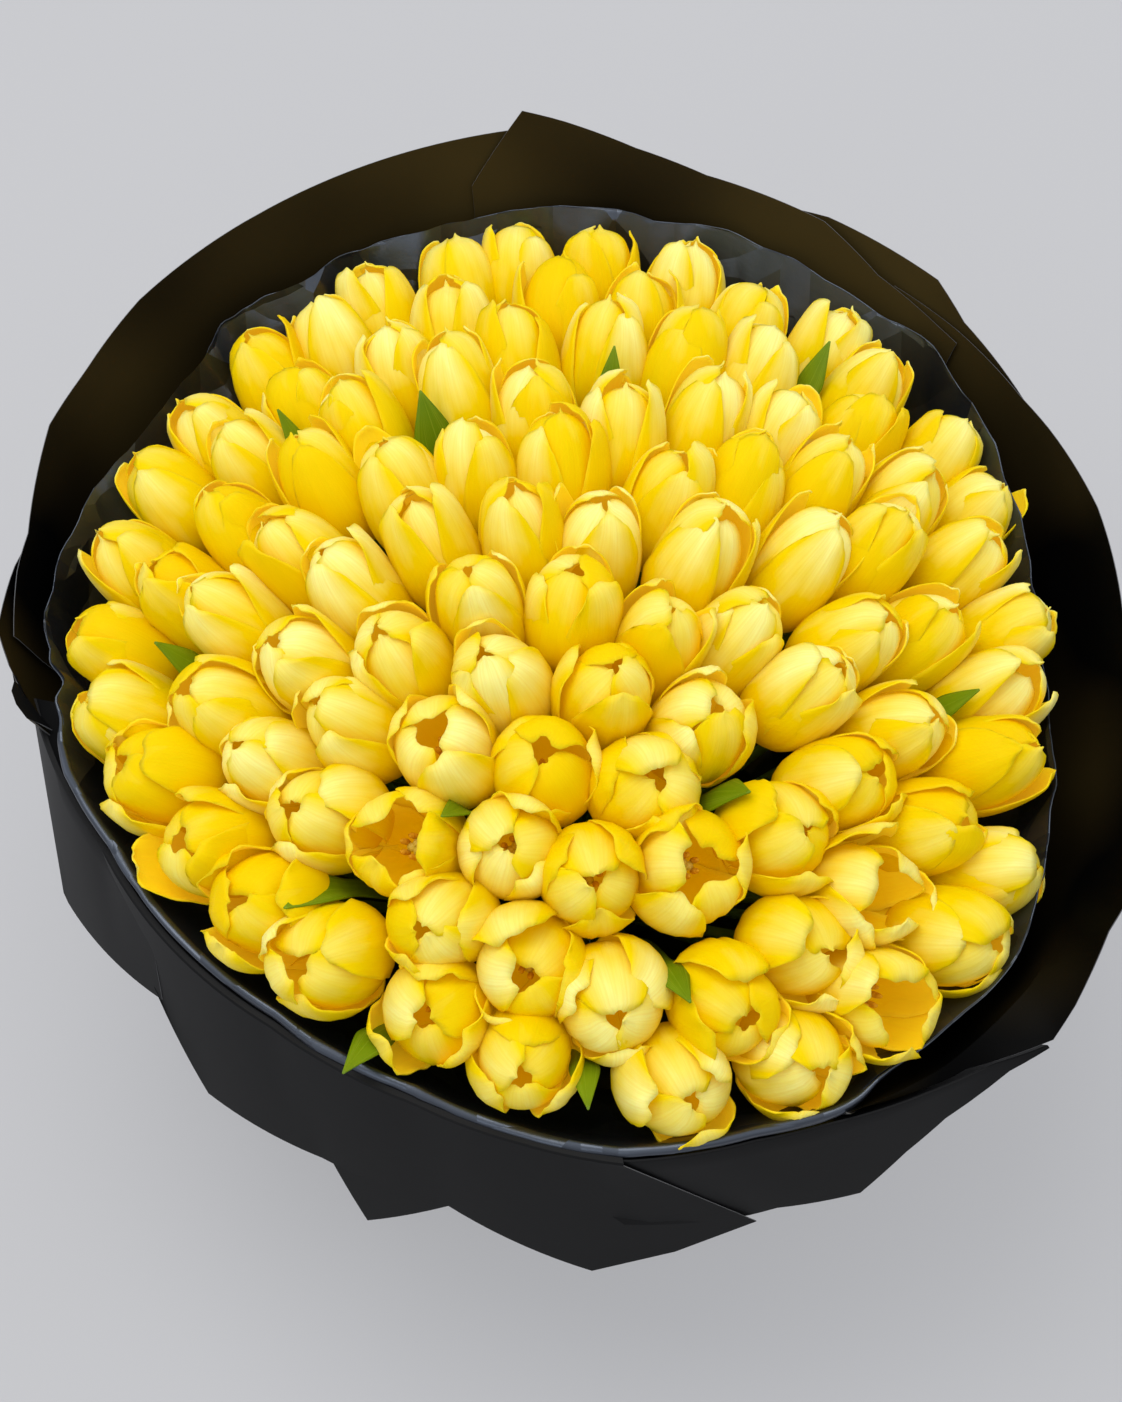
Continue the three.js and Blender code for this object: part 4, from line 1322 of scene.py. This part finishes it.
# ---- the wrap ----
@dataclass
class Lining:
    """The crinkled film inside, gathered at the tie and rolled at the rim."""

    wrap: Wrap
    columns: int = 560
    rows: int = 80
    thick: float = 0.5
    tied: float = 0.06  # share of the rows that lie under the tie
    roll: float = 3.3  # radius of the rolled rim, mm
    roll_share: float = 0.14  # share of the rows that make the roll
    belly: float = 9  # how far the film swells in below the rim
    under_fold: float = 8  # the front rim ends this far inside the fold of the sheets, mm
    broad: tuple[int, int, float] = (44, 9, 23.0)  # facets round and up, and their depth
    fine: tuple[int, int, float] = (104, 21, 6.0)
    eased: float = 0.22  # share of the depth by which the film stands out again at the rim
    evened: Table = (
        (0, 0.5), (30, 0.72), (100, 0.72), (128, 0.15), (200, 0.15),
        (215, 0.6), (300, 0.7), (318, 0.85), (335, 0.6), (360, 0.5),
    )  # direction, and share by which the crinkles fade towards the rim
    pulled: Table = (
        (0, 17), (22, 15), (42, 0), (178, 0), (186, 3), (190, 5),
        (197, 0), (322, 0), (336, 11), (348, 17), (360, 17),
    )  # direction, and how far the rim is drawn in to the flowers, mm

    def facet(self, u: float, v: float, around: int, seed: int) -> float:
        """Height, 0 to 1, of a surface of flat three-cornered facets that meet in creases.

        Args:
            u: the place round, in facets.
            v: the place up, in facets.
            around: how many facets there are round the film.
            seed: picks the pattern.

        Returns:
            The height.
        """
        i, j = math.floor(u), math.floor(v)
        fu, fv = u - i, v - j

        def corner(di: int, dj: int) -> float:
            """Height of a facet's corner."""
            return 0.5 + noise.cell(Vector((((i + di) % around) * 1.7, (j + dj) * 2.3, seed + 0.5))) / 2

        if (i * 7 + j * 13) % 3 == 0:
            if fu + fv < 1:
                return corner(0, 0) * (1 - fu - fv) + corner(1, 0) * fu + corner(0, 1) * fv
            return corner(1, 1) * (fu + fv - 1) + corner(0, 1) * (1 - fu) + corner(1, 0) * (1 - fv)
        if fu > fv:
            return corner(0, 0) * (1 - fu) + corner(1, 0) * (fu - fv) + corner(1, 1) * fv
        return corner(0, 0) * (1 - fv) + corner(0, 1) * (fv - fu) + corner(1, 1) * fu

    def depth(self, way: float, t: float) -> float:
        """How far the crinkles stand in from the film's form, in mm.

        Args:
            way: the direction, in degrees.
            t: the share of the way from the tie to the rim.

        Returns:
            The depth.
        """
        warp = Vector((*turned(1.9, way), t * 2.5)) * 1.7
        du, dv = noise.noise(warp) * 1.1, noise.noise(warp + Vector((5, 5, 5))) * 0.9
        made, rim = 0.0, smooth((t - 0.8) / 0.2)
        for seed, (around, up, deep) in enumerate((self.broad, self.fine)):
            u = way / 360 * around + du * (1 + seed)
            made += deep * (self.facet(u, t * up + dv * (1 + seed), around, seed * 31) - self.eased * rim)
        return made * smooth(t * 1.6 - 0.25)

    def rule(self, across: float, up: float) -> Vector:
        """Where a point of the film lies.

        Args:
            across: its place round, 0 to 1.
            up: its place from the tie's foot to the end of the roll, 0 to 1.

        Returns:
            The point, in mm.
        """
        way, wrap = across * 360, self.wrap
        if up < self.tied:
            z = mix(wrap.tie_bottom, wrap.tie_top, up / self.tied)
            return wrap.at_waist(way, wrap.waist_radius, z)
        start = 1 - self.roll_share
        t = 1 - (1 - min(1.0, (up - self.tied) / (start - self.tied))) ** 1.6
        front, rim = wrap.front(way), wrap.rim_radius(way)
        pleat = math.sin(math.radians(way) * 54 + 3 * noise.noise(Vector((*turned(3, way), 0))))
        gather = pleat * 0.6 * math.exp(-(((t - 0.12) / 0.2) ** 2)) * clamp(t / 0.05)
        calm = 1 - 0.93 * front * smooth((t - 0.7) / 0.3)
        calm *= 1 - along(self.evened, way) * smooth((t - 0.8) / 0.2)
        belly = self.belly * (1 - front) * math.sin(math.pi * clamp((t - 0.5) / 0.5))
        off = gather + 0.7 - self.depth(way, t) * calm - belly
        press = max(0.0, along(wrap.crest, way) - self.under_fold - rim) * front - along(self.pulled, way)
        pinch = self.facet(way / 360 * 41, 0.5, 41, 97) - 0.5
        lift = pinch * mix(15, 3, front)
        if t < 1:
            return wrap.point(t, way, off) + Vector((*turned(press * t**5, way), lift * t**5))
        size = self.roll * mix(0.16, 1, front) * (0.8 + 0.5 * abs(pinch))
        angle = math.pi * (1 - 1.25 * (up - start) / self.roll_share)
        r = rim + off * 0.85 + press + size + size * math.cos(angle)
        return wrap.at_rim(way, r, wrap.rim_height(way) + lift + size * math.sin(angle))

    def build(self) -> None:
        """Builds the film from a grid closed round."""
        obj = grid_sheet("lining_film", self.columns, self.rows)
        shape_grid(obj, self.rule)
        close_round(obj)
        apply_modifier(obj, "SOLIDIFY", thickness=self.thick * MM, offset=1)
        settle(obj, "lining", (Look.FILM,))
        sharpen(obj, 30)


@dataclass
class Sheet:
    """A stiff sheet that stands past the rim, or folds over it and hangs."""

    name: str
    layer: int
    edge: Table = ()  # direction and height of the corners of its cut edge
    hem: Table = ()  # fold's direction; corner's direction, radius, height
    flap: int = 0  # which of the hanging ones it is, from the inside
    lean_out: Table = ((0, 0), (1, 0))  # direction, and how far it leans out past its form, mm
    thick: float = 0.6


@dataclass
class Sheets:
    """The stiff outer sheets, in layers round the lining."""

    wrap: Wrap
    step: float = 1.6  # degrees between columns, where no corner is
    fold: Table = (
        (0.77, -2.2, -0.6, -1.2), (0.785, -1.4, -0.2, 0), (0.80, -0.5, 0.5, -0.2), (0.81, 0.2, 0.6, -1.3),
    )  # place, how far out of the crest, how far more for each sheet under it, height over the crest
    sheets: tuple[Sheet, ...] = (
        Sheet("sheet_back", 1,
              ((40, 380), (43, 381), (52, 386), (60, 399), (74, 403), (82, 411), (94, 429), (100, 392))),
        Sheet("sheet_back_left", 2,
              ((90, 418), (95, 417), (124, 410), (140, 408), (157, 398), (168, 376), (180, 369))),
        Sheet("sheet_back_right", 3, ((30, 378), (41, 386), (46, 396), (60, 397), (70, 390))),
        Sheet("sheet_right", 2,
              ((-62, 346), (-50, 348), (-43, 357), (-34, 389), (-29, 398), (-11, 386), (0, 382), (14, 385),
               (30, 381), (41, 383), (50, 383)),
              lean_out=((-62, 0), (-50, 10), (-43, 26), (-34, 2), (-29, 0))),
        Sheet("sheet_left", 3, ((160, 374), (170, 371), (180, 376), (185, 364), (190, 350)),
              lean_out=((180, 0), (185, -1), (190, -7))),
        Sheet("sheet_front_left", 1, flap=2,
              hem=((185.5, 201, 307.2, 266), (191, 202.3, 306.5, 265), (217, 221, 290, 298))),
        Sheet("sheet_front", 2, flap=3,
              hem=((206.5, 220, 290, 300), (222, 229.4, 301, 256), (241, 244.3, 299, 266),
                   (258, 258.5, 304.7, 274), (272, 272.9, 328.3, 253), (276, 288.5, 326.5, 281))),
        Sheet("sheet_front_right", 3, flap=0,
              hem=((262, 276, 318, 296), (280, 288, 323, 284), (284, 290.6, 325, 287), (294, 298.4, 335, 283),
                   (301, 303, 334, 306), (307, 307, 334.8, 322), (312.5, 313.3, 341, 340),
                   (317, 317, 348.5, 346))),
        Sheet("sheet_under", 3, flap=1,
              hem=((242, 245.2, 298, 268), (250, 249.9, 311, 228), (260, 260, 302, 276))),
    )

    def column(self, sheet: Sheet, way: float) -> list[tuple[float, Vector]]:
        """A column of a sheet from its skirt to its end.

        Args:
            sheet: the sheet.
            way: the column's direction, in degrees.

        Returns:
            Its corner points in mm, each with its place, 0 to 1.
        """
        wrap, layer = self.wrap, sheet.layer
        rim, high = wrap.rim_radius(way), wrap.rim_height(way)
        waist, skirt = wrap.off(layer, 0) + wrap.waist_radius, wrap.off(layer, 0) + wrap.skirt_radius
        made = [
            (0.0, wrap.at_waist(way, skirt, wrap.skirt_height)),
            (0.14, wrap.at_waist(way, waist, wrap.tie_bottom)),
            (0.18, wrap.at_waist(way, waist, wrap.tie_top)),
        ]
        crest, lean = along(wrap.crest, way), along(sheet.lean_out, way)
        tight = wrap.front(way) if sheet.hem else 0.0
        push = crest - 2.6 - rim - wrap.off(layer, 1, tight) if sheet.hem else 0.0
        for k in range(1, 22):
            t = k / 21 * 0.97
            out = push * smooth((t - 0.45) / 0.55) ** 1.6 + min(0.0, lean) * t * t
            at = wrap.point(t, way, wrap.off(layer, t, tight)) + Vector((*turned(out, way), 0))
            made.append((0.18 + 0.57 * t, at))
        if sheet.edge:
            end = along(sheet.edge, way)
            r = rim + wrap.off(layer, 1)
            made.append((0.75, wrap.at_rim(way, r + min(0.0, lean), high)))
            made.append((1.0, wrap.at_rim(way, r + (end - high) * wrap.flare + lean, end)))
            return made
        high = wrap.crest_height + sheet.flap * 0.7
        for place, out, more, drop in self.fold:
            made.append((place, wrap.at_rim(way, crest + out + more * sheet.flap, high + drop)))
        corner = (along([(row[0], row[k]) for row in sheet.hem], way) for k in (1, 2, 3))
        made.append((1.0, wrap.at_rim(*corner)))
        return made

    def build(self) -> None:
        """Builds every sheet."""
        for sheet in self.sheets:
            self.one(sheet)

    def one(self, sheet: Sheet) -> None:
        """Builds one sheet, with a column of points at each corner of its edge.

        Args:
            sheet: the sheet.
        """
        stops = [corner[0] for corner in sheet.edge or sheet.hem]
        ways: list[float] = []
        for a, b in zip(stops, stops[1:]):
            parts = max(1, round((b - a) / self.step))
            ways += [mix(a, b, k / parts) for k in range(parts)]
        ways.append(stops[-1])
        columns = [self.column(sheet, way) for way in ways]
        places = sorted({round(place, 4) for place, _ in columns[0]} | {0.05, 0.1, 0.84, 0.88, 0.92, 0.96})
        obj = grid_sheet(sheet.name + "_dressed", len(ways) - 1, len(places) - 1)

        def rule(across: float, up: float) -> Vector:
            """Where a point of the sheet lies."""
            points = columns[round(across * (len(ways) - 1))]
            place = places[round(up * (len(places) - 1))]
            for (p0, a), (p1, b) in zip(points, points[1:]):
                if place <= p1 + 1e-6:
                    return a.lerp(b, clamp((place - p0) / (p1 - p0)))
            return points[-1][1]

        shape_grid(obj, rule)
        # standing sheets take the inside finish, with its painted shade and painted reflection
        looks = (Look.SHEET, Look.CUT, Look.SHEET if sheet.hem else Look.INSIDE)
        for look in looks:
            obj.data.materials.append(look.material())
        apply_modifier(
            obj, "SOLIDIFY", thickness=sheet.thick * MM, offset=1, material_offset=2, material_offset_rim=1,
            use_even_offset=True,
        )
        settle(obj, sheet.name, looks)
        sharpen(obj, 24)


@dataclass
class Ribbon:
    """The satin ribbon that ties the bunch, wound round in overlapping turns."""

    wrap: Wrap
    inside: float = 54.1
    width: float = 15
    turns: int = 3
    thick: float = 0.7

    def rule(self, across: float, up: float) -> Vector:
        """Where a point of the band lies.

        Args:
            across: its place round, 0 to 1.
            up: its place up, 0 to 1.

        Returns:
            The point, in mm.
        """
        way = across * 360
        turn = (up * self.turns) % 1 if up < 1 else 1
        swell = 0.45 * math.sin(math.pi * turn) + 0.12 * math.sin(math.radians(way) * 9 + up * 7)
        z = (self.wrap.tie_top + self.wrap.tie_bottom) / 2 + (up - 0.5) * self.width
        return self.wrap.at_waist(way, self.inside + 0.3 + max(0.0, swell), z)

    def build(self) -> None:
        """Builds the band."""
        obj = grid_sheet("ribbon_band", 96, 16)
        shape_grid(obj, self.rule)
        close_round(obj)
        apply_modifier(obj, "SOLIDIFY", thickness=self.thick * MM, offset=1)
        settle(obj, "ribbon", (Look.RIBBON,))


# ---- the studio ----
@dataclass
class Studio:
    """The camera, a pale floor and soft light."""

    elevation: float = 60
    distance: float = 1.3
    target: tuple[float, float, float] = (0, -0.015, 0.400)
    lit: tuple[float, float, float] = (0, 0, 0.35)  # what the lamps face
    view_high: float = 32.4  # degrees that the picture's long side takes in
    sky_low: float = 0.35  # light from level, and from straight above
    sky_high: float = 1.05
    warm: Colour = (1.0, 0.985, 0.96)
    cool: Colour = (0.86, 0.92, 1.0)

    def add(self, name: str, data: bpy.types.ID) -> Object:
        """Puts a camera or lamp in the scene.

        Args:
            name: its name.
            data: its settings.

        Returns:
            Its object.
        """
        obj = bpy.data.objects.new(name, data)
        bpy.context.scene.collection.objects.link(obj)
        return obj

    def camera(self) -> None:
        """Stands the camera where the picture was taken from."""
        data = bpy.data.cameras.new("camera")
        data.sensor_width = 36
        data.lens = data.sensor_width / 2 / math.tan(math.radians(self.view_high / 2))
        data.clip_start, data.clip_end = 0.01, 50
        camera = self.add("camera", data)
        rise = math.radians(self.elevation)
        camera.location = Vector(self.target) + Vector((0, -math.cos(rise), math.sin(rise))) * self.distance
        camera.rotation_euler = (math.radians(90 - self.elevation), 0, 0)
        bpy.context.scene.camera = camera

    def floor(self) -> None:
        """Lays the floor."""
        bpy.ops.object.select_all(action="DESELECT")
        bpy.ops.mesh.primitive_plane_add(size=14, location=(0, 0, 0))
        floor = bpy.context.object
        floor.name = "floor"
        s = Shader("floor_grey", Roughness=0.85, Specular_IOR_Level=0.15)
        s.skin(Emission_Color=(0.97, 0.97, 1.0, 1.0), Emission_Strength=0.26)
        s.skin(Base_Color=s.blend(s.noise(s.place(0.8), 3), shade(148, 148, 150), shade(154, 154, 156)))
        floor.data.materials.append(s.material)

    def lamp(
        self, name: str, at: tuple[float, float, float], size: float, power: float, colour: Colour
    ) -> None:
        """Hangs a soft square lamp that faces the bunch.

        Args:
            name: its name.
            at: where it hangs, in m.
            size: its side, in m.
            power: its power, in W.
            colour: its colour.
        """
        data = bpy.data.lights.new(name, "AREA")
        data.shape, data.size, data.energy, data.color = "SQUARE", size, power, colour
        lamp = self.add(name, data)
        lamp.location = at
        lamp.rotation_euler = (Vector(self.lit) - Vector(at)).to_track_quat("-Z", "Y").to_euler()

    def light(self) -> None:
        """Lights the scene from all round, and a little more from above and behind."""
        world = bpy.data.worlds.new("studio")
        bpy.context.scene.world = world
        world.use_nodes = True
        tree = world.node_tree
        sky = tree.nodes["Background"]
        sky.inputs[0].default_value = (0.95, 0.97, 1.0, 1.0)
        kinds = ("TexCoord", "SeparateXYZ", "MapRange")
        way, parts, rise = (tree.nodes.new("ShaderNode" + kind) for kind in kinds)
        for place, value in zip((1, 2, 3, 4), (0.0, 1.0, self.sky_low, self.sky_high)):
            rise.inputs[place].default_value = value
        tree.links.new(way.outputs["Generated"], parts.inputs[0])
        tree.links.new(parts.outputs[2], rise.inputs[0])
        tree.links.new(rise.outputs[0], sky.inputs[1])
        self.lamp("lamp_above", (-0.5, 0.2, 2.6), 1.6, 22, self.warm)
        self.lamp("lamp_front", (-1.6, -2.0, 1.5), 0.9, 5.5, self.cool)
        self.lamp("lamp_left", (-2.3, 1.3, 0.95), 0.9, 3, self.cool)
        self.lamp("lamp_right", (2.3, 1.3, 0.95), 0.9, 10, self.cool)
        bpy.context.scene.view_settings.view_transform = "Standard"


def main() -> None:
    """Builds the bunch, piece by piece."""
    logging.basicConfig(level=logging.INFO, format="%(message)s")
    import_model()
    studio = Studio()
    studio.camera()
    studio.floor()
    studio.light()
    wrap = Wrap()
    layout = Layout(wrap)
    layout.arrange()
    LOG.info("%d heads in %d sprays", len(layout.heads), len(layout.sprays))
    for part in (Flowers(layout), Stems(layout), Leaves(layout), Lining(wrap), Sheets(wrap), Ribbon(wrap)):
        part.build()


if __name__ == "__main__":
    main()
